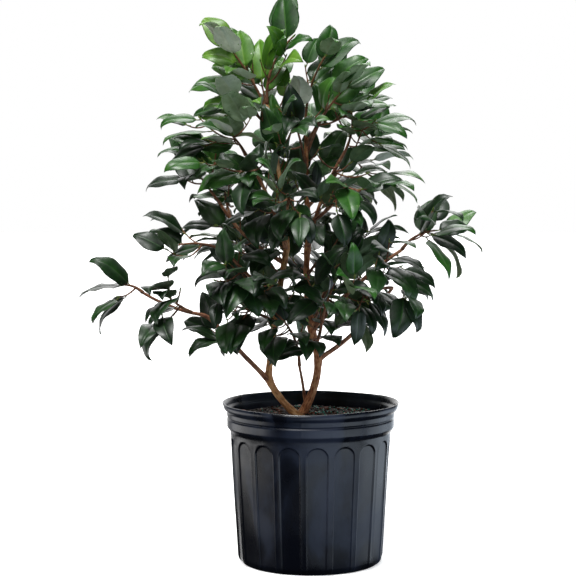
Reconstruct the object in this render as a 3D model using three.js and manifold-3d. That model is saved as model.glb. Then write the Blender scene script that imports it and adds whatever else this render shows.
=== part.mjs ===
// A camellia shrub growing in a fluted nursery pot.
// Millimetres, +Z up. The origin is the centre of the pot's flat underside and -Y is the plant's face.
// Limbs are tapering tubes along one bend each. Every mass of foliage grows from one lead twig by the
// same rule: side twigs turn round the lead by the golden angle, leaves turn round every twig, and
// whatever would leave the mass's own space or touch a neighbour is tried again and then skipped.

import * as THREE from "three";
import { mergeVertices } from "three/addons/utils/BufferGeometryUtils.js";
import Module from "manifold-3d";

const wasm = await Module();
wasm.setup();

const GAP = 0.3; // clearance between neighbouring solids
const GOLDEN_ANGLE = Math.PI * (3 - Math.sqrt(5));
const UP = new THREE.Vector3(0, 0, 1);
const FACE = new THREE.Vector3(0, -1, 0); // the way the plant's face looks
const CROWN_AXIS = -20; // where the crown's upright axis stands, along X

// ---------------------------------------------------------------- driving dimensions

const POT = {
  height: 243,
  rim: 132.5,
  lipFoot: { radius: 130.5, height: 234 },
  band: { radius: 126.4, low: 223, high: 230 },
  groove: { radius: 124.6, height: 221 },
  bead: { radius: 126.2, low: 207, high: 218.5 },
  shoulder: { radius: 121.2, height: 200.5 },
  foot: { radius: 109.4, height: 7 },
  heel: { out: 0.8, up: 0.3 }, // the rounding under the foot, as shares of its width and height
  underside: 103.4,
  wall: 3,
  floor: 3,
  facets: 36,
};
const FLUTES = { count: 18, width: 33, footWidth: 29.5, top: 192, depth: 1.6, arch: 3, turn: 4.2 };
const FLUTE_CUTTER = { below: 10, depth: 12 }; // how far the cutting panel runs past the foot and the wall
const SOIL = { edge: 220, shoulder: { radius: 80, height: 223.5 }, crown: { radius: 34, height: 226 } };

const GROUND = SOIL.crown.height + GAP; // the stems' flat cut
const GROUND_BLOCK = { side: 200, height: 40 }; // cuts the stems off at the ground
const FLARE = { width: 1.2, height: 9 }; // root flare: extra radius at the cut, and how fast it fades
const LIMB_STEP = 34; // length of one straight stretch of a limb
const LIMB_SIDES = { stout: 7, slim: 5, from: 3.5 }; // sides of a limb, by the radius at its foot

// Each limb: the limb it leaves and how far along it (or the place of its foot on the soil), its tip,
// how far its middle swings off the straight line, and its radius at foot and tip.
const LIMBS = {
  stem_left_foot: { foot: [-9, -21], tip: [-64, -22, 281], bow: [-3, 0, -5], radii: [5.5, 5.2] },
  stem_left: { on: "stem_left_foot", at: 1, tip: [-35, -8, 481], bow: [-2, 0, 0], radii: [5.1, 3.9] },
  leader_left: { on: "stem_left", at: 1, tip: [-65, 5, 690], bow: [3, 0, 0], radii: [3.7, 2.5] },
  bough_left_upper: { on: "stem_left", at: 0.97, tip: [-96, -36, 615], bow: [3, 0, 6], radii: [3.3, 2.3] },
  bough_left_back: { on: "stem_left", at: 0.87, tip: [-135, 24, 539], bow: [-4, 0, -10], radii: [3, 2.1] },
  bough_left_mid: { on: "stem_left", at: 0.6, tip: [-122, -60, 472], bow: [-2, 0, -4], radii: [3, 2.1] },
  arm_left: { on: "stem_left_foot", at: 0.97, tip: [-153, -58, 380], bow: [2, 0, -4], radii: [3.9, 3] },
  arm_left_end: { on: "arm_left", at: 1, tip: [-247, -66, 414], bow: [0, 0, -6], radii: [2.9, 2.1] },
  stem_right_foot: { foot: [-18, -4], tip: [12, 0, 311], bow: [7, 0, -3], radii: [6.5, 5.5] },
  stem_right: { on: "stem_right_foot", at: 1, tip: [-4, 14, 479], bow: [-8, 0, 0], radii: [5.6, 4.3] },
  leader_right: { on: "stem_right", at: 1, tip: [-7, 30, 645], bow: [0, 0, 0], radii: [4, 2.6] },
  bough_right_upper: { on: "stem_right", at: 0.98, tip: [41, 0, 603], bow: [-3, 0, 6], radii: [3.2, 2.3] },
  bough_right_low: {
    on: "stem_right_foot", at: 0.97, tip: [124, 28, 413], bow: [4, 0, -8], radii: [3.6, 2.2],
  },
  arm_right: { on: "stem_right", at: 0.25, tip: [135, -28, 475], bow: [-2, 0, 5], radii: [3.6, 2.3] },
  stem_middle: { foot: [-5, 13], tip: [-17, -16, 300], bow: [1, 0, 0], radii: [2.6, 2] },
  bough_front_low: { on: "stem_right", at: 0.12, tip: [16, -72, 372], bow: [0, -6, -6], radii: [3, 2.1] },
  bough_front_high: { on: "leader_left", at: 0.12, tip: [-34, -78, 545], bow: [0, -6, -6], radii: [2.8, 2] },
  bough_front_right: { on: "leader_right", at: 0.2, tip: [44, -66, 560], bow: [0, -5, -6], radii: [2.8, 2] },
  bough_back_low: { on: "stem_right", at: 0.3, tip: [24, 92, 408], bow: [0, 6, -8], radii: [3.1, 2.1] },
  bough_back_left: { on: "stem_left", at: 0.42, tip: [-78, 74, 446], bow: [0, 6, -8], radii: [3, 2.1] },
  bough_back_mid: { on: "leader_left", at: 0.22, tip: [-48, 84, 578], bow: [0, 6, -6], radii: [2.8, 2] },
  bough_back_high: { on: "leader_right", at: 0.35, tip: [48, 96, 596], bow: [0, 6, -6], radii: [2.8, 2] },
};

// Each mass of foliage: the limb its lead twig leaves and how far along it, where the lead ends, how
// many side twigs it has and how long they are, and its dice.
const MASSES = {
  foliage_top: { on: "leader_left", at: 1, tip: [-27, 4, 790], spread: 48, seed: 1 },
  foliage_top_left: { on: "leader_left", at: 0.9, tip: [-128, -14, 782], spread: 50, seed: 2 },
  foliage_left_upper: { on: "leader_left", at: 0.8, tip: [-112, -38, 698], spread: 50, seed: 3 },
  foliage_top_back: { on: "leader_left", at: 0.7, tip: [-78, 84, 738], spread: 55, seed: 4 },
  foliage_right_top: { on: "leader_right", at: 1, tip: [22, 8, 762], spread: 50, seed: 5 },
  foliage_right_upper: { on: "leader_right", at: 0.9, tip: [66, 0, 730], spread: 52, seed: 6 },
  foliage_back_top: { on: "leader_right", at: 0.8, tip: [36, 108, 696], spread: 55, seed: 7 },
  foliage_centre_upper: { on: "leader_right", at: 0.68, tip: [-28, -64, 676], spread: 52, seed: 8 },
  foliage_right_shoulder: { on: "bough_right_upper", at: 1, tip: [58, -20, 690], spread: 52, seed: 9 },
  foliage_right_mid: { on: "bough_right_upper", at: 0.8, tip: [40, -58, 600], spread: 52, seed: 10 },
  foliage_left_shoulder: { on: "bough_left_upper", at: 1, tip: [-116, -54, 644], spread: 52, seed: 11 },
  foliage_left_front: { on: "bough_left_upper", at: 0.8, tip: [-104, -104, 590], spread: 52, seed: 12 },
  foliage_left_side: { on: "bough_left_back", at: 1, tip: [-172, 14, 590], spread: 54, seed: 13 },
  foliage_left_back: { on: "bough_left_back", at: 0.8, tip: [-132, 104, 566], spread: 56, seed: 14 },
  foliage_left_mid: { on: "bough_left_mid", at: 1, tip: [-196, -66, 484], spread: 52, seed: 15 },
  foliage_centre_left: { on: "bough_left_mid", at: 0.7, tip: [-96, -116, 438], spread: 54, seed: 16 },
  foliage_arm_left: { on: "arm_left_end", at: 0.25, tip: [-206, -88, 408], spread: 44, seed: 17 },
  foliage_arm_left_tip: { on: "arm_left_end", at: 1, tip: [-274, -70, 426], twigs: 1, spread: 30, seed: 18 },
  foliage_arm_right: { on: "arm_right", at: 0.75, tip: [112, -84, 456], spread: 45, seed: 19 },
  foliage_arm_right_tip: { on: "arm_right", at: 1, tip: [184, -38, 504], spread: 45, seed: 20 },
  foliage_right_low: { on: "bough_right_low", at: 1, tip: [82, -6, 400], spread: 42, seed: 21 },
  foliage_centre_low: { on: "stem_middle", at: 1, tip: [-62, -58, 390], spread: 46, seed: 22 },
  foliage_left_low: { on: "stem_left", at: 0.42, tip: [-126, -66, 396], spread: 44, seed: 32 },
  foliage_right_inner: { on: "arm_right", at: 0.45, tip: [72, -72, 438], spread: 44, seed: 33 },
  foliage_front_low: { on: "bough_front_low", at: 1, tip: [34, -104, 432], spread: 50, seed: 23 },
  foliage_front_mid: { on: "bough_front_high", at: 1, tip: [-36, -120, 560], spread: 52, seed: 24 },
  foliage_front_right: { on: "bough_front_right", at: 1, tip: [48, -108, 574], spread: 52, seed: 25 },
  foliage_centre: { on: "stem_right", at: 0.72, tip: [34, -56, 480], spread: 46, seed: 26 },
  foliage_back_low: { on: "bough_back_low", at: 1, tip: [16, 146, 424], spread: 52, seed: 27 },
  foliage_back_right: { on: "bough_back_low", at: 0.8, tip: [82, 106, 462], spread: 54, seed: 28 },
  foliage_back_left: { on: "bough_back_left", at: 1, tip: [-104, 130, 462], spread: 54, seed: 29 },
  foliage_back_mid: { on: "bough_back_mid", at: 1, tip: [-40, 140, 600], spread: 54, seed: 30 },
  foliage_back_high: { on: "bough_back_high", at: 1, tip: [76, 134, 612], spread: 54, seed: 31 },
};

const TWIG = {
  count: 2, // side twigs on a lead, where the mass doesn't say
  lead: [2.6, 1.9], // radius at foot and tip
  side: [2.1, 1.6],
  steps: 3, // straight stretches of a lead twig
  sideSteps: 2,
  lean: [45, 62], // degrees between a side twig and its lead
  rise: 0.12, // how far the middle swings off the straight line, as a share of the length
  branch: 0.05, // the same for a lead that leaves the side of its limb
  outward: 0.15, // how much a side twig leans out from the crown's axis
  vary: [0.85, 1.15], // length of a side twig, as a share of its mass's spread
  first: 0.25, // where the lowest side twig stands on the lead
  last: 0.8,
  tries: 8,
  turnOn: 0.8, // radians a side twig is turned at each new try
  gap: 3, // kept from foreign tubes
  margin: 3, // kept from the wall of the mass's space
  bud: 9, // length of the pointed end
};
const LEAF = {
  length: 80,
  vary: [0.8, 1.12],
  slimness: 0.53, // width as a share of length
  broad: [0.94, 1.06], // more or less
  skew: 0.92, // under 1 the widest place is nearer the foot
  full: 0.85, // under 1 the blade is fuller at both ends
  petiole: 7,
  root: 1.4, // height of the edge that is sunk in the twig
  thickness: 2, // along the midrib
  outset: 1.1, // the solid's corners stand this much outside the blade's curved edge
  stations: [0.3, 0.7], // where the solid's two cross-sections stand along the blade
  steps: 8, // straight stretches of the midrib
  recurve: [36, 76], // degrees the midrib bends down from foot to tip
  flatter: 0.5, // how much less it bends where it points to the plant's back
  lift: 12, // degrees the blade first rises
  fold: [6, 19], // degrees each half stands up from flat
  roll: 0.45, // how far a blade may lean to one side
  spacing: 15, // along the twig
  bare: [0.42, 0.3], // share with no leaves at the foot of a lead and of a side twig
  start: 0.4, // how far past the bare foot the lowest leaf stands, in leaf gaps
  last: 0.985, // where the uppermost leaf stands on its twig
  crowd: 0.85, // under 1 the leaves stand closer towards the tip
  young: 0.85, // size of the uppermost leaf
  lean: [70, 34], // degrees from the twig at its foot and at its tip
  wobble: 7, // degrees more or less
  outward: 0.25, // how much a leaf leans out from the crown's axis
  light: 0.5, // how much its upper side turns outward
  faceTurn: { low: 0.25, high: 0.95, between: [600, 740] }, // and how much to the plant's face, by height
  droop: 0.3, // how much it hangs, which fades over the crown's upper part
  droopFades: [560, 780],
  nod: 0.28, // how much more it hangs at the plant's face, and rises at the back
  tries: 9,
  turnOn: 0.42, // radians a leaf is turned to and fro at each new try
  shrink: 0.035, // and how much smaller it gets
  margin: 2.2, // kept from the wall of the mass's space
  clearance: 2, // kept from every limb and foreign twig
};
const LOWEST_LEAF = 306; // nothing hangs nearer the rim than this height
const REACH = 0.62; // a leaf's reach round its middle, as a share of its length
const NET_ROWS = [0.02, 0.25, 0.5, 0.75, 1]; // along a leaf, where its neighbours are tested
const UPRIGHT = 0.9; // a tube that rises more than this takes its sides from the back
const STEEP = 0.95; // an axis that rises more than this has no upper side of its own
const MIDDLE = 0.72; // where the middle of a mass's space stands on its lead twig

const COLOURS = {
  pot: { color: 0x20242e, roughness: 0.38, metalness: 0 },
  soil: { color: 0x241a14, roughness: 0.95, metalness: 0 },
  bark: { color: 0x9a6440, roughness: 0.75, metalness: 0 },
  foliage: { color: 0x1f4a1c, roughness: 0.35, metalness: 0 },
};

// ---------------------------------------------------------------- solids

// Turns closed three.js geometry into a solid for joining and cutting, with its faces pointing out.
function toSolid(geometry) {
  const bare = geometry.clone();
  bare.deleteAttribute("normal");
  bare.deleteAttribute("uv");
  const merged = mergeVertices(bare, 1e-4);
  const places = merged.attributes.position;
  const corners = [];
  const [a, b, c] = [new THREE.Vector3(), new THREE.Vector3(), new THREE.Vector3()];
  let volume = 0;
  for (let i = 0; i < merged.index.count; i += 3) {
    const triangle = [0, 1, 2].map((k) => merged.index.getX(i + k));
    if (new Set(triangle).size < 3) continue; // a sliver on the axis of a turned shape
    corners.push(triangle);
    [a, b, c].forEach((corner, k) => corner.fromBufferAttribute(places, triangle[k]));
    volume += a.dot(b.cross(c));
  }
  if (volume < 0) corners.forEach((triangle) => triangle.reverse());
  return new wasm.Manifold(
    new wasm.Mesh({
      numProp: 3,
      vertProperties: new Float32Array(places.array),
      triVerts: new Uint32Array(corners.flat()),
    }),
  );
}

function toGeometry(solid) {
  const mesh = solid.getMesh();
  const geometry = new THREE.BufferGeometry();
  geometry.setAttribute("position", new THREE.BufferAttribute(mesh.vertProperties, 3));
  geometry.setIndex(new THREE.BufferAttribute(mesh.triVerts, 1));
  geometry.computeVertexNormals();
  return geometry;
}

// Closed geometry from a list of points and a list of triangles or fans of corner numbers.
function fromFaces(points, faces) {
  const geometry = new THREE.BufferGeometry().setFromPoints(points);
  const corners = faces.flatMap((face) => face.slice(2).flatMap((last, k) => [face[0], face[k + 1], last]));
  geometry.setIndex(corners);
  return geometry;
}

// The largest single body of a solid: cutting can leave a loose scrap beside it.
function mainBody(solid) {
  const bodies = solid.decompose();
  return bodies.reduce((best, body) => (body.volume() > best.volume() ? body : best));
}

const vec = (list) => new THREE.Vector3(...list);
const mix = (low, high, share) => low + (high - low) * share;
const radians = THREE.MathUtils.degToRad;

// A turned solid from a closed outline of [radius, height] pairs.
function turned(outline, facets) {
  const profile = outline.map(([radius, height]) => new THREE.Vector2(radius, height));
  return toSolid(new THREE.LatheGeometry(profile, facets).rotateX(Math.PI / 2));
}

// A tapering tube along a path, with flat ends; a bud gives it a pointed end instead.
function taperedTube(path, radii, sides, bud = 0) {
  const count = path.length;
  const chord = path[count - 1].clone().sub(path[0]).normalize();
  const upright = Math.abs(chord.z) > UPRIGHT;
  const reference = squareTo(upright ? new THREE.Vector3(0, 1, 0) : UP, chord);
  const points = [];
  const faces = [];
  path.forEach((centre, k) => {
    const tangent = path[Math.min(k + 1, count - 1)].clone().sub(path[Math.max(k - 1, 0)]).normalize();
    const across = squareTo(reference, tangent);
    const other = tangent.clone().cross(across);
    for (let side = 0; side < sides; side += 1) {
      const angle = (side / sides) * 2 * Math.PI;
      const rim = across.clone().multiplyScalar(Math.cos(angle)).addScaledVector(other, Math.sin(angle));
      points.push(centre.clone().addScaledVector(rim, radii[k]));
    }
  });
  for (let k = 0; k < count - 1; k += 1) {
    for (let side = 0; side < sides; side += 1) {
      const next = (side + 1) % sides;
      const low = k * sides;
      faces.push([low + side, low + next, low + sides + next, low + sides + side]);
    }
  }
  faces.push(Array.from({ length: sides }, (_, side) => sides - 1 - side));
  const end = (count - 1) * sides;
  if (bud > 0) {
    const last = path[count - 1].clone().sub(path[count - 2]).normalize();
    points.push(path[count - 1].clone().addScaledVector(last, bud));
    for (let side = 0; side < sides; side += 1) {
      faces.push([end + side, end + ((side + 1) % sides), points.length - 1]);
    }
  } else {
    faces.push(Array.from({ length: sides }, (_, side) => end + side));
  }
  return toSolid(fromFaces(points, faces));
}

// The part of a direction that is square to an axis, as a unit vector.
function squareTo(direction, axis) {
  return direction.clone().addScaledVector(axis, -direction.dot(axis)).normalize();
}

// ---------------------------------------------------------------- pot and soil

function potInside() {
  const { rim, lipFoot, band, shoulder, foot, underside, wall, floor, height } = POT;
  return [
    [rim - wall, height],
    [lipFoot.radius - wall, lipFoot.height],
    [band.radius - wall, band.high],
    [shoulder.radius - wall, shoulder.height],
    [foot.radius - wall, foot.height + floor],
    [underside - wall, floor],
  ];
}

function potSolid() {
  const { rim, lipFoot, band, groove, bead, shoulder, foot, heel, underside, height } = POT;
  const outside = [
    [0, 0],
    [underside, 0],
    [mix(underside, foot.radius, heel.out), foot.height * heel.up],
    [foot.radius, foot.height],
    [shoulder.radius, shoulder.height],
    [bead.radius, bead.low],
    [bead.radius, bead.high],
    [groove.radius, groove.height],
    [band.radius, band.low],
    [band.radius, band.high],
    [lipFoot.radius, lipFoot.height],
    [rim, height],
  ];
  let pot = turned([...outside, ...potInside(), [0, POT.floor], [0, 0]], POT.facets);
  for (let k = 0; k < FLUTES.count; k += 1) pot = pot.subtract(fluteCutter(k));
  return pot;
}

// A shallow panel with a round top, laid against the tapering wall.
function fluteCutter(k) {
  const { shoulder, foot } = POT;
  const taper = Math.atan((shoulder.radius - foot.radius) / (shoulder.height - foot.height));
  const half = FLUTES.width / 2;
  const outline = new THREE.Shape();
  outline.moveTo(-FLUTES.footWidth / 2, -FLUTE_CUTTER.below);
  outline.lineTo(FLUTES.footWidth / 2, -FLUTE_CUTTER.below);
  outline.lineTo(half, FLUTES.top - half);
  outline.absarc(0, FLUTES.top - half, half, 0, Math.PI, false);
  outline.closePath();
  const panel = new THREE.ExtrudeGeometry(outline, {
    depth: FLUTE_CUTTER.depth,
    bevelEnabled: false,
    curveSegments: FLUTES.arch,
  });
  const turn = (k / FLUTES.count) * 2 * Math.PI + radians(FLUTES.turn);
  const floor = foot.radius * Math.cos(Math.PI / FLUTES.count) - FLUTES.depth / 2;
  panel.rotateX(Math.PI / 2 + taper).translate(0, -floor, 0).rotateZ(turn);
  return toSolid(panel.translate(0, 0, foot.height));
}

function soilSolid() {
  const inside = potInside().slice(2); // from the band down
  const shrunk = inside.map(([radius, height]) => [radius - GAP, height + (height <= POT.floor ? GAP : 0)]);
  const [bandRadius, bandHeight] = shrunk[0];
  const [shoulderRadius, shoulderHeight] = shrunk[1];
  const share = (SOIL.edge - shoulderHeight) / (bandHeight - shoulderHeight);
  const edge = [mix(shoulderRadius, bandRadius, share), SOIL.edge];
  const { shoulder, crown } = SOIL;
  return turned(
    [
      [0, POT.floor + GAP],
      ...shrunk.slice(1).reverse(),
      edge,
      [shoulder.radius, shoulder.height],
      [crown.radius, crown.height],
      [0, crown.height],
      [0, POT.floor + GAP],
    ],
    POT.facets,
  );
}

// ---------------------------------------------------------------- the growing rule

// Repeatable dice: one stream of numbers between 0 and 1 for each mass.
class Dice {
  constructor(seed) {
    this.state = Math.imul(seed, 2654435761) >>> 0;
    for (let warm = 0; warm < 4; warm += 1) this.roll();
  }

  roll() {
    this.state = (Math.imul(this.state, 1664525) + 1013904223) >>> 0;
    return this.state / 4294967296;
  }

  between(low, high) {
    return mix(low, high, this.roll());
  }
}

// Points along one bend from start to tip, whose middle swings off the straight line by bow.
function bend(start, tip, bow, steps) {
  const control = start.clone().add(tip).multiplyScalar(0.5).addScaledVector(bow, 2);
  const curve = new THREE.QuadraticBezierCurve3(start, control, tip);
  return curve.getPoints(steps);
}

function pointOn(path, share) {
  const place = share * (path.length - 1);
  const k = Math.min(Math.floor(place), path.length - 2);
  return path[k].clone().lerp(path[k + 1], place - k);
}

function directionOn(path, share) {
  const k = Math.min(Math.floor(share * (path.length - 1)), path.length - 2);
  return path[k + 1].clone().sub(path[k]).normalize();
}

// A path with its radius at every point.
function limbPath(name) {
  const { on, at, foot, tip, bow, radii } = LIMBS[name];
  const start = on ? pointOn(limbs[on].path, at) : vec([...foot, GROUND - FLARE.height]);
  const end = vec(tip);
  const steps = Math.max(3, Math.round(start.distanceTo(end) / LIMB_STEP) + (on ? 0 : 1));
  const path = bend(start, end, vec(bow), steps);
  const widths = path.map((point, k) => {
    const flare = on ? 0 : FLARE.width * Math.exp((GROUND - point.z) / FLARE.height);
    return mix(radii[0], radii[1], k / steps) + Math.min(flare, 2 * FLARE.width);
  });
  return { path, radii: widths };
}

// Each mass's lead twig leaves its limb, a little along the limb's own direction, and bends to its tip.
function leadPath(mass) {
  const limb = limbs[mass.on];
  const start = pointOn(limb.path, mass.at);
  const end = vec(mass.tip);
  const length = start.distanceTo(end);
  const straight = end.clone().sub(start).normalize();
  const follow = length * (mass.at === 1 ? TWIG.rise : TWIG.branch);
  const swing = squareTo(directionOn(limb.path, mass.at), straight).multiplyScalar(follow);
  return { path: bend(start, end, swing, TWIG.steps), radii: taper(TWIG.lead, TWIG.steps) };
}

function taper([foot, tip], steps) {
  return Array.from({ length: steps + 1 }, (_, k) => mix(foot, tip, k / steps));
}

// The middle of a mass's space, on its lead twig. The space is all that lies nearer to it than to
// any other mass's middle.
function massMiddle(lead) {
  return pointOn(lead.path, MIDDLE);
}

function inSpace(point, middle, margin) {
  if (point.z < LOWEST_LEAF) return false;
  const mine = point.distanceToSquared(middle);
  return middles.every((other) => {
    if (other === middle) return true;
    const wall = (point.distanceToSquared(other) - mine) / (2 * middle.distanceTo(other));
    return wall > margin;
  });
}

// A leaf: its midrib from foot to tip, and the frame it bends in.
function makeLeaf(root, heading, face, length, dice) {
  const width = length * LEAF.slimness * dice.between(...LEAF.broad);
  const flatter = 1 - LEAF.flatter * Math.max(0, heading.y);
  const recurve = radians(dice.between(...LEAF.recurve)) * flatter;
  const fold = radians(dice.between(...LEAF.fold));
  const side = heading.clone().cross(face);
  const spine = [root.clone().addScaledVector(heading, LEAF.petiole)];
  const faces = [];
  for (let k = 0; k <= LEAF.steps; k += 1) {
    const middle = (k + 0.5) / LEAF.steps;
    const angle = radians(-LEAF.lift) + recurve * middle * middle;
    const along = heading.clone().multiplyScalar(Math.cos(angle)).addScaledVector(face, -Math.sin(angle));
    faces.push(face.clone().multiplyScalar(Math.cos(angle)).addScaledVector(heading, Math.sin(angle)));
    if (k < LEAF.steps) spine.push(spine[k].clone().addScaledVector(along, length / LEAF.steps));
  }
  return { root, heading, face, side, length, width, fold, spine, faces };
}

// Half the blade's width at a share of its length: widest below the middle, drawn out at the tip.
function halfWidth(leaf, share) {
  return 0.5 * leaf.width * Math.sin(Math.PI * share ** LEAF.skew) ** LEAF.full;
}

// A point on the blade: share runs from foot to tip, across from -1 at the left edge to 1 at the right.
function bladePoint(leaf, share, across) {
  const place = share * LEAF.steps;
  const k = Math.min(Math.floor(place), LEAF.steps - 1);
  const rib = leaf.spine[k].clone().lerp(leaf.spine[k + 1], place - k);
  const half = halfWidth(leaf, share) * Math.abs(across);
  rib.addScaledVector(leaf.side, Math.sign(across) * half * Math.cos(leaf.fold));
  return rib.addScaledVector(leaf.faces[Math.round(place)], half * Math.sin(leaf.fold));
}

// The points and triangles that stand for a leaf when it is tested against its neighbours.
function leafNet(leaf) {
  const points = NET_ROWS.flatMap((share) => [-1, 0, 1].map((across) => bladePoint(leaf, share, across)));
  const triangles = [];
  const segments = [];
  for (let row = 0; row < NET_ROWS.length - 1; row += 1) {
    for (let column = 0; column < 3; column += 1) {
      const corner = row * 3 + column;
      segments.push([points[corner], points[corner + 3]]);
      if (column < 2) {
        triangles.push([points[corner], points[corner + 1], points[corner + 4]]);
        triangles.push([points[corner], points[corner + 4], points[corner + 3]]);
        segments.push([points[corner + 3], points[corner + 4]]);
      }
    }
  }
  return { points, triangles, segments, centre: points[7], reach: REACH * leaf.length };
}

// Whether a straight stretch passes through a triangle.
function pierces([start, end], [a, b, c]) {
  const ray = end.clone().sub(start);
  const ab = b.clone().sub(a);
  const ac = c.clone().sub(a);
  const normal = ab.clone().cross(ac);
  const slope = -ray.dot(normal);
  if (Math.abs(slope) < 1e-9) return false;
  const offset = start.clone().sub(a);
  const share = offset.dot(normal) / slope;
  if (share < 0 || share > 1) return false;
  const turn = offset.cross(ray);
  const u = -ac.dot(turn) / slope;
  const v = ab.dot(turn) / slope;
  return u >= 0 && v >= 0 && u + v <= 1;
}

function crosses(net, other) {
  if (net.centre.distanceTo(other.centre) > net.reach + other.reach) return false;
  const cut = (segments, triangles) => segments.some((s) => triangles.some((t) => pierces(s, t)));
  return cut(net.segments, other.triangles) || cut(other.segments, net.triangles);
}

// Whether a leaf's net comes too near a limb or twig.
function touchesTube(net, tube, clearance) {
  const line = new THREE.Line3();
  const nearest = new THREE.Vector3();
  for (let k = 0; k < tube.path.length - 1; k += 1) {
    line.set(tube.path[k], tube.path[k + 1]);
    line.closestPointToPoint(net.centre, true, nearest);
    if (nearest.distanceTo(net.centre) > net.reach + tube.radii[k]) continue;
    const limit = tube.radii[k] + clearance;
    const near = net.points.some((point) => {
      line.closestPointToPoint(point, true, nearest);
      return nearest.distanceTo(point) < limit;
    });
    if (near || net.triangles.some((triangle) => pierces([line.start, line.end], triangle))) return true;
  }
  return false;
}

// Whether two tubes come nearer than their radii and a clearance, by their points.
function tubesTouch(one, other, clearance) {
  const line = new THREE.Line3();
  const nearest = new THREE.Vector3();
  return one.path.slice(1).some((point, index) =>
    other.path.slice(1).some((end, k) => {
      line.set(other.path[k], end);
      line.closestPointToPoint(point, true, nearest);
      return nearest.distanceTo(point) < one.radii[index + 1] + other.radii[k] + clearance;
    }),
  );
}

// The direction away from the crown's axis, which leaves and twigs lean towards.
function outward(point) {
  return new THREE.Vector3(point.x - CROWN_AXIS, point.y, 0).normalize();
}

// A direction that leans from an axis by an angle, turned round it from the axis's upper side.
function leaning(axis, lean, turn) {
  const top = squareTo(Math.abs(axis.z) > STEEP ? outward(axis) : UP, axis);
  const right = axis.clone().cross(top);
  const radial = top.multiplyScalar(Math.cos(turn)).addScaledVector(right, Math.sin(turn));
  return axis.clone().multiplyScalar(Math.cos(lean)).addScaledVector(radial, Math.sin(lean)).normalize();
}

function growSideTwigs(mass, lead, middle, dice) {
  const twigs = [];
  const first = dice.between(0, 2 * Math.PI);
  const count = mass.twigs ?? TWIG.count;
  for (let k = 0; k < count; k += 1) {
    const share = mix(TWIG.first, TWIG.last, (k + dice.roll()) / count);
    const start = pointOn(lead.path, share);
    const axis = directionOn(lead.path, share);
    const lean = radians(dice.between(...TWIG.lean));
    const length = mass.spread * dice.between(...TWIG.vary);
    for (let attempt = 0; attempt < TWIG.tries; attempt += 1) {
      const turn = first + k * GOLDEN_ANGLE + attempt * TWIG.turnOn;
      const away = leaning(axis, lean, turn).addScaledVector(outward(start), TWIG.outward);
      const end = start.clone().addScaledVector(away.normalize(), length);
      const sag = new THREE.Vector3(0, 0, -TWIG.rise * length);
      const path = bend(start, end, sag, TWIG.sideSteps);
      const twig = { path, radii: taper(TWIG.side, TWIG.sideSteps) };
      const bud = end.clone().addScaledVector(directionOn(path, 1), TWIG.bud);
      const clear = [...path.slice(1), bud].every((point) => inSpace(point, middle, TWIG.margin));
      const outer = { path: twig.path.slice(1), radii: twig.radii.slice(1) };
      const touches = (tube) => tubesTouch(outer, tube, TWIG.gap);
      if (clear && ![...foreignTubes(mass), ...twigs].some(touches)) {
        twigs.push(twig);
        break;
      }
    }
  }
  return twigs;
}

// Every limb and every other mass's lead twig.
function foreignTubes(mass) {
  const others = Object.keys(MASSES).filter((name) => MASSES[name] !== mass);
  return [...Object.values(limbs), ...others.map((name) => leads[name])];
}

function growLeaves(mass, twig, bare, middle, dice, twigs, leaves) {
  const length = twig.path[0].distanceTo(twig.path.at(-1));
  const count = Math.round((length * (1 - bare)) / LEAF.spacing) + 1;
  const first = dice.between(0, 2 * Math.PI);
  for (let k = 0; k < count; k += 1) {
    const share = mix(bare, LEAF.last, ((k + LEAF.start) / (count - 1 + LEAF.start)) ** LEAF.crowd);
    const place = Math.min(share, LEAF.last);
    const root = pointOn(twig.path, place);
    const axis = directionOn(twig.path, place);
    const lean = radians(mix(...LEAF.lean, place) + dice.between(-LEAF.wobble, LEAF.wobble));
    const size = LEAF.length * dice.between(...LEAF.vary) * (k === count - 1 ? LEAF.young : 1);
    const tilt = dice.between(-LEAF.roll, LEAF.roll);
    const seed = Math.floor(dice.roll() * 1e6);
    const droop = LEAF.droop * (1 - THREE.MathUtils.smoothstep(root.z, ...LEAF.droopFades));
    const { low, high, between } = LEAF.faceTurn;
    const faceTurn = mix(low, high, THREE.MathUtils.smoothstep(root.z, ...between));
    for (let attempt = 0; attempt < LEAF.tries; attempt += 1) {
      const swing = Math.ceil(attempt / 2) * (attempt % 2 ? LEAF.turnOn : -LEAF.turnOn);
      const shrink = 1 - LEAF.shrink * attempt;
      const heading = leaning(axis, lean, first + k * GOLDEN_ANGLE + swing);
      const hang = droop - LEAF.nod * heading.y;
      heading.addScaledVector(outward(root), LEAF.outward).addScaledVector(UP, -hang).normalize();
      const light = UP.clone().addScaledVector(outward(root), LEAF.light);
      light.addScaledVector(FACE, faceTurn).addScaledVector(heading.clone().cross(UP), tilt);
      const leaf = makeLeaf(root, heading, squareTo(light, heading), size * shrink, new Dice(seed));
      const net = leafNet(leaf);
      const fits =
        net.points.every((point) => inSpace(point, middle, LEAF.margin)) &&
        !foreignTubes(mass).some((tube) => touchesTube(net, tube, LEAF.clearance)) &&
        !twigs.some((other) => other !== twig && touchesTube(net, other, 0)) &&
        !leaves.some((other) => crosses(net, other.net));
      if (fits) {
        leaves.push({ ...leaf, net });
        break;
      }
    }
  }
}

function growMass(name) {
  const mass = MASSES[name];
  const dice = new Dice(mass.seed);
  const lead = leads[name];
  const middle = middles[Object.keys(MASSES).indexOf(name)];
  const twigs = [lead, ...growSideTwigs(mass, lead, middle, dice)];
  const leaves = [];
  twigs.forEach((twig, k) => growLeaves(mass, twig, LEAF.bare[k ? 1 : 0], middle, dice, twigs, leaves));
  return { twigs, leaves };
}

// ---------------------------------------------------------------- solids of limbs and foliage

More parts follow.
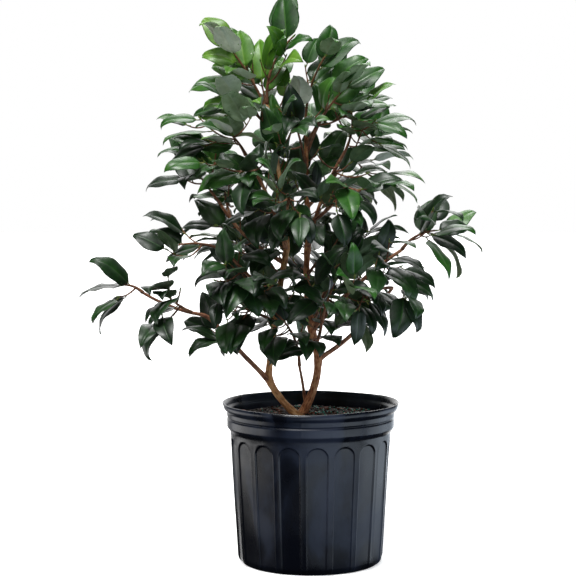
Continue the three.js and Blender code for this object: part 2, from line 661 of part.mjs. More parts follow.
// A blade with a flat top and a low keel: an upright edge sunk in the twig, two three-cornered
// cross-sections and a pointed tip.
function leafSolid(leaf) {
  const sunk = LEAF.root / 2;
  const points = [
    leaf.root.clone().addScaledVector(leaf.face, sunk),
    leaf.root.clone().addScaledVector(leaf.face, -sunk),
  ];
  for (const share of LEAF.stations) {
    const left = bladePoint(leaf, share, -LEAF.outset);
    const right = bladePoint(leaf, share, LEAF.outset);
    const top = left.clone().lerp(right, 0.5);
    const keel = top.clone().addScaledVector(leaf.faces[Math.round(share * LEAF.steps)], -LEAF.thickness);
    points.push(left, right, keel);
  }
  points.push(leaf.spine[LEAF.steps]);
  const faces = [
    [0, 3, 2],
    [0, 2, 1],
    [1, 2, 4],
    [1, 4, 3],
    [0, 1, 3],
  ];
  for (let k = 0; k < 3; k += 1) {
    const next = (k + 1) % 3;
    faces.push([2 + k, 2 + next, 5 + next, 5 + k]);
    faces.push([5 + k, 5 + next, 8]);
  }
  return toSolid(fromFaces(points, faces));
}

function inflated(tube) {
  const last = tube.path.length - 1;
  const path = tube.path.map((point) => point.clone());
  path[last].addScaledVector(directionOn(tube.path, 1), GAP);
  return taperedTube(path, tube.radii.map((radius) => radius + GAP), sidesOf(tube.radii));
}

function sidesOf(radii) {
  return radii[0] < LIMB_SIDES.from ? LIMB_SIDES.slim : LIMB_SIDES.stout;
}

// A limb is cut clear of every limb made before it, and flat at the ground.
function limbSolid(name, earlier) {
  const { path, radii } = limbs[name];
  let solid = taperedTube(path, radii, sidesOf(radii));
  for (const other of earlier) {
    const near = path.some((p) => limbs[other].path.some((q) => p.distanceTo(q) < 2 * LIMB_STEP));
    if (near) solid = solid.subtract(inflated(limbs[other]));
  }
  if (!LIMBS[name].on) solid = solid.subtract(groundBlock());
  return mainBody(solid);
}

function groundBlock() {
  const block = new THREE.BoxGeometry(GROUND_BLOCK.side, GROUND_BLOCK.side, GROUND_BLOCK.height);
  return toSolid(block.translate(0, 0, GROUND - GROUND_BLOCK.height / 2));
}

function massSolid(name) {
  const { twigs, leaves } = grown[name];
  const [lead, ...side] = twigs;
  let solid = taperedTube(lead.path, lead.radii, 3, TWIG.bud);
  side.forEach((twig) => (solid = solid.add(taperedTube(twig.path, twig.radii, 3, TWIG.bud))));
  leaves.forEach((leaf) => (solid = solid.add(leafSolid(leaf))));
  const start = lead.path[0];
  for (const limb of Object.values(limbs)) {
    const near = limb.path.some((point) => point.distanceTo(start) < 2 * LIMB_STEP);
    if (near) solid = solid.subtract(inflated(limb));
  }
  return mainBody(solid);
}

// ---------------------------------------------------------------- assembly

const limbs = {};
for (const name of Object.keys(LIMBS)) limbs[name] = limbPath(name);
const leads = {};
for (const [name, mass] of Object.entries(MASSES)) leads[name] = leadPath(mass);
const middles = Object.values(leads).map(massMiddle);
const grown = {};
for (const name of Object.keys(MASSES)) grown[name] = growMass(name);

const shrub = new THREE.Group();
shrub.name = "camellia_shrub_in_pot";

function addPart(name, solid, finish) {
  const mesh = new THREE.Mesh(toGeometry(solid), new THREE.MeshStandardMaterial(COLOURS[finish]));
  mesh.name = name;
  shrub.add(mesh);
}

addPart("pot", potSolid(), "pot");
addPart("soil", soilSolid(), "soil");
Object.keys(LIMBS).forEach((name, k, names) => addPart(name, limbSolid(name, names.slice(0, k)), "bark"));
Object.keys(MASSES).forEach((name) => addPart(name, massSolid(name), "foliage"));

export default shrub;
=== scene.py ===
"""The looks of a camellia shrub in a fluted nursery pot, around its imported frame.

Lengths are millimetres in the part's own frame, +Z up and the plant's face to -Y, and every mesh is turned
to metres where it is made. The shrub grows on the limbs by the part's own rule: first the twigs and leaves
of the frame, then finer twigs fitted in among everything grown before.
"""

import math
from collections import namedtuple

import bpy
import numpy as np
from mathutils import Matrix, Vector


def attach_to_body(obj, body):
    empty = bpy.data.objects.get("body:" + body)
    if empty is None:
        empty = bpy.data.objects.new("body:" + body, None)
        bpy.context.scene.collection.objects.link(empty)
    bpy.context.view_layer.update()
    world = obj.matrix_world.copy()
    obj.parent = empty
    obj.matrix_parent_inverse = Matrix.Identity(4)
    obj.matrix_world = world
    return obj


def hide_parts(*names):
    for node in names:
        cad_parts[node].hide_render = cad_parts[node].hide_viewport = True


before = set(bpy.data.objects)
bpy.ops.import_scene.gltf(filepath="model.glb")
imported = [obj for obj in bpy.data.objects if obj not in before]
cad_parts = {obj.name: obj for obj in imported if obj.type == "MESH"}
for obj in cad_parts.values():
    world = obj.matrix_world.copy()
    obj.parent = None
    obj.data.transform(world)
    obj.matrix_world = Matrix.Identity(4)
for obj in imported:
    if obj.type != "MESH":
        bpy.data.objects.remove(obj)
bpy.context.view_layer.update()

# ---------- driving dimensions

MM = 0.001
GOLDEN_ANGLE = math.pi * (3 - math.sqrt(5))
UP = np.array([0.0, 0.0, 1.0])
FACE = np.array([0.0, -1.0, 0.0])
FACE_TURN = {"low": 0.25, "high": 0.95, "between": (600, 740)}  # leaves turn to the face, most at the top

POT = {
    "height": 243, "rim": 132.5, "lip_foot": (130.5, 234), "band": (126.4, 223, 230),
    "groove": (124.6, 221), "bead": (126.2, 207, 218.5), "shoulder": (121.2, 200.5), "foot": (109.4, 7),
    "underside": 103.4, "hollow": 1.2, "wall": 3, "floor": 3,
}
FLUTES = {
    "count": 18, "width": 33, "foot_width": 29.5, "top": 192, "depth": 1.5, "turn": 4.2,
    "edge": (-1.5, 0.3), "flat": 0.75, "ridge": 0.35, "ridge_at": 0.6, "ridge_width": 0.7,
}
SOIL = {
    "edge": 220, "crown": 226, "crown_radius": 34, "shoulder": 80, "shoulder_height": 223.5, "radius": 121.2,
    "under": ((120.6, 216), (115.8, 201), (104.4, 10.5), (98, 3.4)), "wall": 121, "settled": 0.6,
    "rings": 46, "columns": 150,
}
CRUMBS = ((1.5, 17, 21, 2), (1.0, 5, 22, 2), (0.5, 2.2, 23, 1))  # height, breadth, seed, layers of noise
GROUND = 226.3  # the stems' cut
FLARE = {"width": 1.2, "height": 9}
LIMB_STEP = 34  # length of one straight stretch of a limb in the frame


def stem(foot, tip, bow, radii):
    """A limb that stands on the soil: the place of its foot, its tip, how far its middle swings off the
    straight line, and its radius at foot and tip."""
    return {"foot": foot, "tip": tip, "bow": bow, "radii": radii}


def bough(on, at, tip, bow, radii):
    """A limb that leaves another one, a share of the way along it."""
    return {"on": on, "at": at, "tip": tip, "bow": bow, "radii": radii}


def mass(on, at, tip, spread, seed, fine=9, twigs=2):
    """A mass of foliage: the limb its lead twig leaves and how far along it, where the lead ends, how long
    its side twigs are, its dice, how many fine twigs it tries, and how many side twigs."""
    return {"on": on, "at": at, "tip": tip, "spread": spread, "seed": seed, "fine": fine, "twigs": twigs}


LIMBS = {
    "stem_left_foot": stem((-9, -21), (-64, -22, 281), (-3, 0, -5), (5.5, 5.2)),
    "stem_left": bough("stem_left_foot", 1, (-35, -8, 481), (-2, 0, 0), (5.1, 3.9)),
    "leader_left": bough("stem_left", 1, (-65, 5, 690), (3, 0, 0), (3.7, 2.5)),
    "bough_left_upper": bough("stem_left", 0.97, (-96, -36, 615), (3, 0, 6), (3.3, 2.3)),
    "bough_left_back": bough("stem_left", 0.87, (-135, 24, 539), (-4, 0, -10), (3, 2.1)),
    "bough_left_mid": bough("stem_left", 0.6, (-122, -60, 472), (-2, 0, -4), (3, 2.1)),
    "arm_left": bough("stem_left_foot", 0.97, (-153, -58, 380), (2, 0, -4), (3.9, 3)),
    "arm_left_end": bough("arm_left", 1, (-247, -66, 414), (0, 0, -6), (2.9, 2.1)),
    "stem_right_foot": stem((-18, -4), (12, 0, 311), (7, 0, -3), (6.5, 5.5)),
    "stem_right": bough("stem_right_foot", 1, (-4, 14, 479), (-8, 0, 0), (5.6, 4.3)),
    "leader_right": bough("stem_right", 1, (-7, 30, 645), (0, 0, 0), (4, 2.6)),
    "bough_right_upper": bough("stem_right", 0.98, (41, 0, 603), (-3, 0, 6), (3.2, 2.3)),
    "bough_right_low": bough("stem_right_foot", 0.97, (124, 28, 413), (4, 0, -8), (3.6, 2.2)),
    "arm_right": bough("stem_right", 0.25, (135, -28, 475), (-2, 0, 5), (3.6, 2.3)),
    "stem_middle": stem((-5, 13), (-17, -16, 300), (1, 0, 0), (2.6, 2)),
    "bough_front_low": bough("stem_right", 0.12, (16, -72, 372), (0, -6, -6), (3, 2.1)),
    "bough_front_high": bough("leader_left", 0.12, (-34, -78, 545), (0, -6, -6), (2.8, 2)),
    "bough_front_right": bough("leader_right", 0.2, (44, -66, 560), (0, -5, -6), (2.8, 2)),
    "bough_back_low": bough("stem_right", 0.3, (24, 92, 408), (0, 6, -8), (3.1, 2.1)),
    "bough_back_left": bough("stem_left", 0.42, (-78, 74, 446), (0, 6, -8), (3, 2.1)),
    "bough_back_mid": bough("leader_left", 0.22, (-48, 84, 578), (0, 6, -6), (2.8, 2)),
    "bough_back_high": bough("leader_right", 0.35, (48, 96, 596), (0, 6, -6), (2.8, 2)),
}
# Limbs that run on into one another, skinned as one length of bark: its name, its limbs and its bark.
BARKS = [
    ("bark_stem_left", ("stem_left_foot", "stem_left", "leader_left"), "tan"),
    ("bark_stem_right", ("stem_right_foot", "stem_right", "leader_right"), "red"),
    ("bark_arm_left", ("arm_left", "arm_left_end"), "brown"),
]

MASSES = {
    "foliage_top": mass("leader_left", 1, (-27, 4, 790), 48, 1, fine=1),
    "foliage_top_left": mass("leader_left", 0.9, (-128, -14, 782), 50, 2, fine=3),
    "foliage_left_upper": mass("leader_left", 0.8, (-112, -38, 698), 50, 3, fine=7),
    "foliage_top_back": mass("leader_left", 0.7, (-78, 84, 738), 55, 4),
    "foliage_right_top": mass("leader_right", 1, (22, 8, 762), 50, 5, fine=2),
    "foliage_right_upper": mass("leader_right", 0.9, (66, 0, 730), 52, 6, fine=3),
    "foliage_back_top": mass("leader_right", 0.8, (36, 108, 696), 55, 7),
    "foliage_centre_upper": mass("leader_right", 0.68, (-28, -64, 676), 52, 8),
    "foliage_right_shoulder": mass("bough_right_upper", 1, (58, -20, 690), 52, 9, fine=3),
    "foliage_right_mid": mass("bough_right_upper", 0.8, (40, -58, 600), 52, 10, fine=3),
    "foliage_left_shoulder": mass("bough_left_upper", 1, (-116, -54, 644), 52, 11, fine=6),
    "foliage_left_front": mass("bough_left_upper", 0.8, (-104, -104, 590), 52, 12),
    "foliage_left_side": mass("bough_left_back", 1, (-172, 14, 590), 54, 13, fine=2),
    "foliage_left_back": mass("bough_left_back", 0.8, (-132, 104, 566), 56, 14),
    "foliage_left_mid": mass("bough_left_mid", 1, (-196, -66, 484), 52, 15, fine=3),
    "foliage_centre_left": mass("bough_left_mid", 0.7, (-96, -116, 438), 54, 16),
    "foliage_arm_left": mass("arm_left_end", 0.25, (-206, -88, 408), 44, 17, fine=4),
    "foliage_arm_left_tip": mass("arm_left_end", 1, (-274, -70, 426), 30, 18, fine=1, twigs=1),
    "foliage_arm_right": mass("arm_right", 0.75, (112, -84, 456), 45, 19),
    "foliage_arm_right_tip": mass("arm_right", 1, (184, -38, 504), 45, 20, fine=5),
    "foliage_right_low": mass("bough_right_low", 1, (82, -6, 400), 42, 21, fine=3),
    "foliage_centre_low": mass("stem_middle", 1, (-62, -58, 390), 46, 22, fine=3),
    "foliage_left_low": mass("stem_left", 0.42, (-126, -66, 396), 44, 32),
    "foliage_right_inner": mass("arm_right", 0.45, (72, -72, 438), 44, 33),
    "foliage_front_low": mass("bough_front_low", 1, (34, -104, 432), 50, 23, fine=4),
    "foliage_front_mid": mass("bough_front_high", 1, (-36, -120, 560), 52, 24),
    "foliage_front_right": mass("bough_front_right", 1, (48, -108, 574), 52, 25),
    "foliage_centre": mass("stem_right", 0.72, (34, -56, 480), 46, 26),
    "foliage_back_low": mass("bough_back_low", 1, (16, 146, 424), 52, 27),
    "foliage_back_right": mass("bough_back_low", 0.8, (82, 106, 462), 54, 28),
    "foliage_back_left": mass("bough_back_left", 1, (-104, 130, 462), 54, 29),
    "foliage_back_mid": mass("bough_back_mid", 1, (-40, 140, 600), 54, 30),
    "foliage_back_high": mass("bough_back_high", 1, (76, 134, 612), 54, 31),
}

# Lengths and radii are millimetres, angles are degrees, except that turn_on is radians, and the rest are
# shares and counts. A pair is the range that the dice choose from, or the values at foot and tip. Margins
# are the room left to the wall between two masses, and a margin below 0 lets a twig or leaf past it.
TWIG = {
    "lead": (2.6, 1.9), "side": (2.1, 1.6), "steps": 3, "side_steps": 2, "lean": (45, 62), "rise": 0.12,
    "branch": 0.05, "vary": (0.85, 1.15), "first": 0.25, "last": 0.8, "outward": 0.15, "tries": 8,
    "turn_on": 0.8, "margin": 3, "bud": 9, "gap": 3,
}
FINE = {
    "length": (24, 42), "radii": (1.5, 1.1), "margin": -10, "first": 0.3, "last": 0.95, "leaf": 80,
    "bare": 0.35, "dice": 1000,
}
SHOOTS = {
    "spacing": 20, "lowest": 330, "last": 0.8, "margin": -45, "dice": 500,
    "bare": ("arm_left_end", "bough_right_low"),
}
SHOWN_RADII = {"lead": (2.3, 1.25), "side": (1.45, 0.95), "fine": (1.15, 0.8)}
LEAF = {
    "length": 80, "vary": (0.8, 1.12), "young": 0.85, "slimness": 0.53, "broad": (0.94, 1.06), "petiole": 7,
    "steps": 8, "recurve": (36, 76), "lift": 12, "fold": (6, 19), "flatter": 0.5, "skew": 0.92, "full": 0.85,
    "spacing": 15, "bare": (0.42, 0.3), "last": 0.985, "start": 0.4, "crowd": 0.85, "lean": (70, 34),
    "wobble": 7, "outward": 0.25, "droop": 0.3, "droop_fades": (560, 780), "nod": 0.28, "roll": 0.45,
    "light": 0.5, "tries": 9, "turn_on": 0.42, "shrink": 0.035, "margin": 2.2, "clearance": 2,
}
LIVE_SIZE = 1.04  # a shown leaf's length as a share of the frame's coarser one
LOWEST_LEAF = 306  # nothing hangs nearer the rim than this height
MIDDLE = 0.72  # how far along its lead a mass's middle is
CROWN_AXIS = -20  # the x of the crown's upright axis
UPRIGHT = 0.9  # a tube that starts more upward than this turns its rings from the back, not from up
STEEP = 0.95  # a direction more upward than this has no upper side, so its outward side is taken


# ---------- small tools


def mix(low, high, share):
    return low + (high - low) * share


def unit(vector):
    return vector / np.linalg.norm(vector)


def square_to(direction, axis):
    """The part of a direction that is square to an axis, as a unit vector."""
    return unit(direction - axis * direction.dot(axis))


def smooth_step(low, high, value):
    share = np.clip((value - low) / (high - low), 0, 1)
    return share * share * (3 - 2 * share)


def hump(offset, width):
    """A smooth bump of height 1 where the offset is 0, which dies away over a width."""
    return np.exp(-((offset / width) ** 2))


def curve(start, control, tip, steps):
    """Points along one bend from start to tip, drawn towards a control point."""
    share = np.linspace(0, 1, steps + 1)[:, None]
    return (1 - share) ** 2 * start + 2 * share * (1 - share) * control + share**2 * tip


def bend(start, tip, bow, steps):
    """Points along one bend from start to tip, whose middle swings off the straight line by bow."""
    return curve(start, (start + tip) / 2 + 2 * bow, tip, steps)


def ring(turns, radius, height):
    """Points at turns round the upright axis."""
    return np.stack([np.cos(turns) * radius, np.sin(turns) * radius, height + 0 * turns], -1)


def point_on(path, share):
    place = share * (len(path) - 1)
    k = min(int(place), len(path) - 2)
    return mix(path[k], path[k + 1], place - k)


def direction_on(path, share):
    k = min(int(share * (len(path) - 1)), len(path) - 2)
    return unit(path[k + 1] - path[k])


def lattice_value(cells, seed):
    """A repeatable number from 0 to 1 for each whole-numbered cell."""
    keys = cells.astype(np.int64)
    mixed = keys[..., 0] * 73856093 ^ keys[..., 1] * 19349663 ^ keys[..., 2] * 83492791 ^ seed * 2654435761
    mixed = (mixed ^ (mixed >> 13)) * 1274126177 & 0xFFFFFFFF
    return ((mixed ^ (mixed >> 16)) & 0xFFFF) / 0xFFFF


def noise(places, seed=0, layers=2):
    """Smooth noise from -1 to 1 at places whose unit is one bump."""
    total = np.zeros(places.shape[:-1])
    weight = 1.0
    for layer in range(layers):
        scaled = places * 2**layer
        cell = np.floor(scaled)
        share = scaled - cell
        share = share * share * (3 - 2 * share)
        value = np.zeros_like(total)
        for corner in np.ndindex(2, 2, 2):
            near = np.where(np.array(corner) == 1, share, 1 - share).prod(-1)
            value += near * lattice_value(cell + corner, seed + layer)
        total += weight * (2 * value - 1)
        weight /= 2
    return total


class Dice:
    """Repeatable dice: one stream of numbers between 0 and 1."""

    def __init__(self, seed):
        self.state = seed * 2654435761 % 2**32
        for _ in range(4):
            self.roll()

    def roll(self):
        self.state = (self.state * 1664525 + 1013904223) % 2**32
        return self.state / 2**32

    def between(self, low, high):
        return mix(low, high, self.roll())


# ---------- the growing rule


class Tube:
    """A limb or twig: its path in the frame's straight stretches, and the bend it follows."""

    def __init__(self, start, tip, bow, steps, radii):
        self.bend = (start, tip, bow)
        self.path = bend(start, tip, bow, steps)
        self.radii = np.array([mix(radii[0], radii[1], k / steps) for k in range(steps + 1)])

    def fine(self, step):
        start, tip, bow = self.bend
        return bend(start, tip, bow, max(3, round(np.linalg.norm(tip - start) / step)))


def grow_limbs():
    limbs = {}
    for name, limb in LIMBS.items():
        rooted = "foot" in limb
        if rooted:
            start = np.array([*limb["foot"], GROUND - FLARE["height"]])
        else:
            start = point_on(limbs[limb["on"]].path, limb["at"])
        tip = np.array(limb["tip"], float)
        steps = max(3, math.floor(np.linalg.norm(tip - start) / LIMB_STEP + 0.5) + rooted)
        tube = Tube(start, tip, np.array(limb["bow"], float), steps, limb["radii"])
        if rooted:
            tube.radii += flare(tube.path)
        limbs[name] = tube
    return limbs


def flare(path):
    """The extra radius of a stem where it meets the soil."""
    extra = FLARE["width"] * np.exp((GROUND - path[:, 2]) / FLARE["height"])
    return np.minimum(extra, 2 * FLARE["width"])


def grow_lead(mass, limbs):
    """A mass's lead twig leaves its limb, a little along the limb's own direction, and bends to its tip."""
    limb = limbs[mass["on"]]
    start = point_on(limb.path, mass["at"])
    tip = np.array(mass["tip"], float)
    length = np.linalg.norm(tip - start)
    follow = length * (TWIG["rise"] if mass["at"] == 1 else TWIG["branch"])
    swing = square_to(direction_on(limb.path, mass["at"]), unit(tip - start)) * follow
    return Tube(start, tip, swing, TWIG["steps"], TWIG["lead"])


def outward(point):
    """The direction away from the crown's axis, which leaves and twigs lean towards."""
    return unit(np.array([point[0] - CROWN_AXIS, point[1], 0.0]))


def leaning(axis, lean, turn):
    """A direction that leans from an axis by an angle, turned round it from the axis's upper side."""
    top = square_to(outward(axis) if abs(axis[2]) > STEEP else UP, axis)
    radial = top * math.cos(turn) + np.cross(axis, top) * math.sin(turn)
    return unit(axis * math.cos(lean) + radial * math.sin(lean))


def stretch_distances(points, starts, ends):
    """The distance from every point to every straight stretch."""
    along = ends - starts
    offset = points[:, None] - starts
    share = np.clip((offset * along).sum(-1) / (along * along).sum(-1), 0, 1)
    return np.linalg.norm(offset - share[..., None] * along, axis=-1)


def any_pierced(starts, ends, triangles):
    """Whether any straight stretch passes through any triangle."""
    ray = ends - starts
    ab = triangles[:, 1] - triangles[:, 0]
    ac = triangles[:, 2] - triangles[:, 0]
    slope = -ray @ np.cross(ab, ac).T
    slope = np.where(np.abs(slope) < 1e-9, np.inf, slope)
    offset = starts[:, None] - triangles[None, :, 0]
    share = (offset * np.cross(ab, ac)).sum(-1) / slope
    turn = np.cross(offset, ray[:, None])
    u = -(ac * turn).sum(-1) / slope
    v = (ab * turn).sum(-1) / slope
    return bool(((share > 0) & (share <= 1) & (u >= 0) & (v >= 0) & (u + v <= 1)).any())


# The net a leaf is tested by: its rows along the blade, each with an edge, the midrib and an edge.
NET_ROWS = (0.02, 0.25, 0.5, 0.75, 1)
NET_GRID = np.arange(3 * len(NET_ROWS)).reshape(len(NET_ROWS), 3)
NET_CELLS = [
    NET_GRID[row : row + 2, side : side + 2].ravel() for row in range(len(NET_ROWS) - 1) for side in (0, 1)
]
NET_TRIANGLES = np.array([cell[corners] for corners in ([0, 1, 3], [0, 3, 2]) for cell in NET_CELLS])
NET_EDGES = np.vstack([
    np.stack([NET_GRID[:-1], NET_GRID[1:]], -1).reshape(-1, 2),
    np.stack([NET_GRID[1:, :-1], NET_GRID[1:, 1:]], -1).reshape(-1, 2),
])
NET_CENTRE = NET_GRID[2, 1]
NET_REACH = 0.62  # from the centre to the farthest point, as a share of the leaf's length


class Leaf:
    """A leaf: its midrib from foot to tip, the frame it bends in, and the net it is tested by."""

    def __init__(self, root, heading, face, length, dice):
        self.root, self.heading, self.face, self.length = root, heading, face, length
        self.width = length * LEAF["slimness"] * dice.between(*LEAF["broad"])
        recurve = math.radians(dice.between(*LEAF["recurve"]))
        self.recurve = recurve * (1 - LEAF["flatter"] * max(0, heading[1]))
        self.fold = math.radians(dice.between(*LEAF["fold"]))
        self.side = np.cross(heading, face)
        middles = (np.arange(LEAF["steps"] + 1) + 0.5) / LEAF["steps"]
        along, self.faces = self.turned(middles)
        hops = along[: LEAF["steps"]] * length / LEAF["steps"]
        self.spine = root + heading * LEAF["petiole"] + np.vstack([np.zeros(3), np.cumsum(hops, 0)])
        net = [self.blade_point(share, across) for share in NET_ROWS for across in (-1, 0, 1)]
        self.points = np.array(net)
        self.centre = self.points[NET_CENTRE]
        self.reach = NET_REACH * length

    def turned(self, shares, hook=0.0):
        """The midrib's direction and the blade's upper side at shares of its length."""
        angle = (-math.radians(LEAF["lift"]) + self.recurve * shares**2 + hook)[:, None]
        along = self.heading * np.cos(angle) - self.face * np.sin(angle)
        return along, self.face * np.cos(angle) + self.heading * np.sin(angle)

    def blade_point(self, share, across):
        place = share * LEAF["steps"]
        k = min(int(place), LEAF["steps"] - 1)
        rib = mix(self.spine[k], self.spine[k + 1], place - k)
        oval = math.sin(math.pi * share ** LEAF["skew"]) ** LEAF["full"]
        half = 0.5 * self.width * oval * abs(across)
        rib = rib + self.side * (np.sign(across) * half * math.cos(self.fold))
        return rib + self.faces[math.floor(place + 0.5)] * (half * math.sin(self.fold))


Spray = namedtuple("Spray", "mass kind tube leaves")  # one twig of a mass, by number, with its leaves


def straight(tubes):
    """The straight stretches of tubes, as starts, ends and radii."""
    starts = np.vstack([tube.path[:-1] for tube in tubes])
    ends = np.vstack([tube.path[1:] for tube in tubes])
    return starts, ends, np.concatenate([tube.radii[:-1] for tube in tubes])


def touches(leaf, stretches, clearance):
    """Whether a leaf comes too near any straight stretch."""
    starts, ends, radii = stretches
    near = stretch_distances(leaf.centre[None], starts, ends)[0] <= leaf.reach + radii
    if not near.any():
        return False
    starts, ends, radii = starts[near], ends[near], radii[near]
    if (stretch_distances(leaf.points, starts, ends) < radii + clearance).any():
        return True
    return any_pierced(starts, ends, leaf.points[NET_TRIANGLES])


def crosses(leaf, others):
    """Whether a leaf's net passes through the net of any of the others."""
    near = [o for o in others if np.linalg.norm(o.centre - leaf.centre) <= leaf.reach + o.reach]
    if not near:
        return False
    nets = np.array([o.points for o in near])
    edges = nets[:, NET_EDGES].reshape(-1, 2, 3)
    own = leaf.points[NET_EDGES]
    return any_pierced(own[:, 0], own[:, 1], nets[:, NET_TRIANGLES].reshape(-1, 3, 3)) or any_pierced(
        edges[:, 0], edges[:, 1], leaf.points[NET_TRIANGLES])


class Crown:
    """Everything that grows on the limbs, and the room it leaves."""

    def __init__(self):
        self.limbs = grow_limbs()
        self.leads = {name: grow_lead(mass, self.limbs) for name, mass in MASSES.items()}
        self.middles = np.array([point_on(lead.path, MIDDLE) for lead in self.leads.values()])
        self.names = list(MASSES)
        self.tubes = list(self.limbs.values()) + list(self.leads.values())
        self.sprays = []
        self.leaves = []

    def foreign_tubes(self, number):
        """Every limb and every other mass's lead."""
        leads = [lead for k, lead in enumerate(self.leads.values()) if k != number]
        return list(self.limbs.values()) + leads

    def in_space(self, points, number, margin):
        """Whether points lie nearer this mass's middle than any other's, by a margin."""
        if points[:, 2].min() < LOWEST_LEAF:
            return False
        squares = ((points[:, None] - self.middles) ** 2).sum(-1)
        apart = np.linalg.norm(self.middles - self.middles[number], axis=1)
        apart[number] = np.inf
        walls = (squares - squares[:, [number]]) / (2 * apart)
        walls[:, number] = np.inf
        return bool((walls > margin).all())

    def twig_fits(self, tube, number, others, margin):
        """Whether a side twig stays in its space, clear of foreign tubes and of its own neighbours."""
        tip_way = direction_on(tube.path, 1)
        bud = tube.path[-1] + tip_way * TWIG["bud"]
        if not self.in_space(np.vstack([tube.path[1:], bud]), number, margin):
            return False
        starts, ends, radii = straight(others)
        points, widths = tube.path[2:], tube.radii[2:]
        return bool((stretch_distances(points, starts, ends) >= radii + widths[:, None] + TWIG["gap"]).all())

    def side_twigs(self, number, lead, mass, dice):
        twigs = []
        count = mass["twigs"]
        first = dice.between(0, 2 * math.pi)
        for k in range(count):
            share = mix(TWIG["first"], TWIG["last"], (k + dice.roll()) / count)
            start = point_on(lead.path, share)
            axis = direction_on(lead.path, share)
            lean = math.radians(dice.between(*TWIG["lean"]))
            length = mass["spread"] * dice.between(*TWIG["vary"])
            twig = self.branch(number, start, axis, lean, first + k * GOLDEN_ANGLE, length, TWIG["side"],
                               self.foreign_tubes(number) + twigs, TWIG["margin"])
            if twig:
                twigs.append(twig)
        return twigs

    def branch(self, number, start, axis, lean, turn, length, radii, others, margin):
        """A twig that leaves an axis at an angle, turned on until it fits, or None."""
        for attempt in range(TWIG["tries"]):
            way = leaning(axis, lean, turn + attempt * TWIG["turn_on"])
            away = unit(way + TWIG["outward"] * outward(start))
            sag = np.array([0, 0, -TWIG["rise"] * length])
            tube = Tube(start, start + away * length, sag, TWIG["side_steps"], radii)
            if self.twig_fits(tube, number, others, margin):
                return tube
        return None

    def dress(self, number, tube, bare, dice, foreign, own, rivals, size, margin):
        """Leaves round one twig, each turned on and shortened until it fits, and skipped if it never does.
        Their nets keep clear of foreign tubes, and out of the mass's own twigs and the rival leaves."""
        length = np.linalg.norm(tube.path[-1] - tube.path[0])
        count = math.floor(length * (1 - bare) / LEAF["spacing"] + 0.5) + 1
        first = dice.between(0, 2 * math.pi)
        foreign = straight(foreign)
        own = straight(own) if own else None
        leaves = []
        for k in range(count):
            crowded = ((k + LEAF["start"]) / (count - 1 + LEAF["start"])) ** LEAF["crowd"]
            place = min(mix(bare, LEAF["last"], crowded), LEAF["last"])
            root = point_on(tube.path, place)
            axis = direction_on(tube.path, place)
            wobble = dice.between(-LEAF["wobble"], LEAF["wobble"])
            lean = math.radians(mix(*LEAF["lean"], place) + wobble)
            full = size * dice.between(*LEAF["vary"]) * (LEAF["young"] if k == count - 1 else 1)
            tilt = dice.between(-LEAF["roll"], LEAF["roll"])
            seed = math.floor(dice.roll() * 1e6)
            droop = LEAF["droop"] * (1 - smooth_step(*LEAF["droop_fades"], root[2]))
            face_turn = mix(FACE_TURN["low"], FACE_TURN["high"], smooth_step(*FACE_TURN["between"], root[2]))
            for attempt in range(LEAF["tries"]):
                swing = math.ceil(attempt / 2) * (LEAF["turn_on"] if attempt % 2 else -LEAF["turn_on"])
                heading = leaning(axis, lean, first + k * GOLDEN_ANGLE + swing)
                hang = droop - LEAF["nod"] * heading[1]
                heading = unit(heading + LEAF["outward"] * outward(root) - hang * UP)
                light = UP + LEAF["light"] * outward(root) + face_turn * FACE + tilt * np.cross(heading, UP)
                face = square_to(light, heading)
                leaf = Leaf(root, heading, face, full * (1 - LEAF["shrink"] * attempt), Dice(seed))
                if (
                    self.in_space(leaf.points, number, margin)
                    and not touches(leaf, foreign, LEAF["clearance"])
                    and not (own and touches(leaf, own, 0))
                    and not crosses(leaf, rivals + leaves)
                ):
                    leaves.append(leaf)
                    break
        return leaves

    def grow_mass(self, number):
        """The twigs and leaves that the frame has."""
        name = self.names[number]
        mass, lead = MASSES[name], self.leads[name]
        dice = Dice(mass["seed"])
        twigs = [lead] + self.side_twigs(number, lead, mass, dice)
        self.tubes += twigs[1:]
        foreign = self.foreign_tubes(number)
        size, margin = LEAF["length"], LEAF["margin"]
        grown = []
        for k, twig in enumerate(twigs):
            own = [other for other in twigs if other is not twig]
            bare = LEAF["bare"][min(k, 1)]
            leaves = self.dress(number, twig, bare, dice, foreign, own, grown, size, margin)
            grown += leaves
            self.sprays.append(Spray(number, "side" if k else "lead", twig, leaves))
        self.leaves += grown

    def refine(self, number):
        """Finer twigs between a mass's own, with leaves of their own."""
        mass = MASSES[self.names[number]]
        dice = Dice(FINE["dice"] + mass["seed"])
        carriers = [spray.tube for spray in self.sprays if spray.mass == number]
        for k in range(mass["fine"]):
            carrier = carriers[k % len(carriers)]
            self.shoot(carrier, dice.between(FINE["first"], FINE["last"]), dice, FINE["margin"], number)

    def clothe(self, name, seed):
        """Leafy shoots along a limb, which close the crown's inside."""
        limb = self.limbs[name]
        dice = Dice(seed)
        length = np.linalg.norm(limb.path[-1] - limb.path[0])
        count = round(length / SHOOTS["spacing"])
        for k in range(count):
            share = SHOOTS["last"] * (k + dice.roll()) / count
            if point_on(limb.path, share)[2] > SHOOTS["lowest"]:
                self.shoot(limb, share, dice, SHOOTS["margin"])

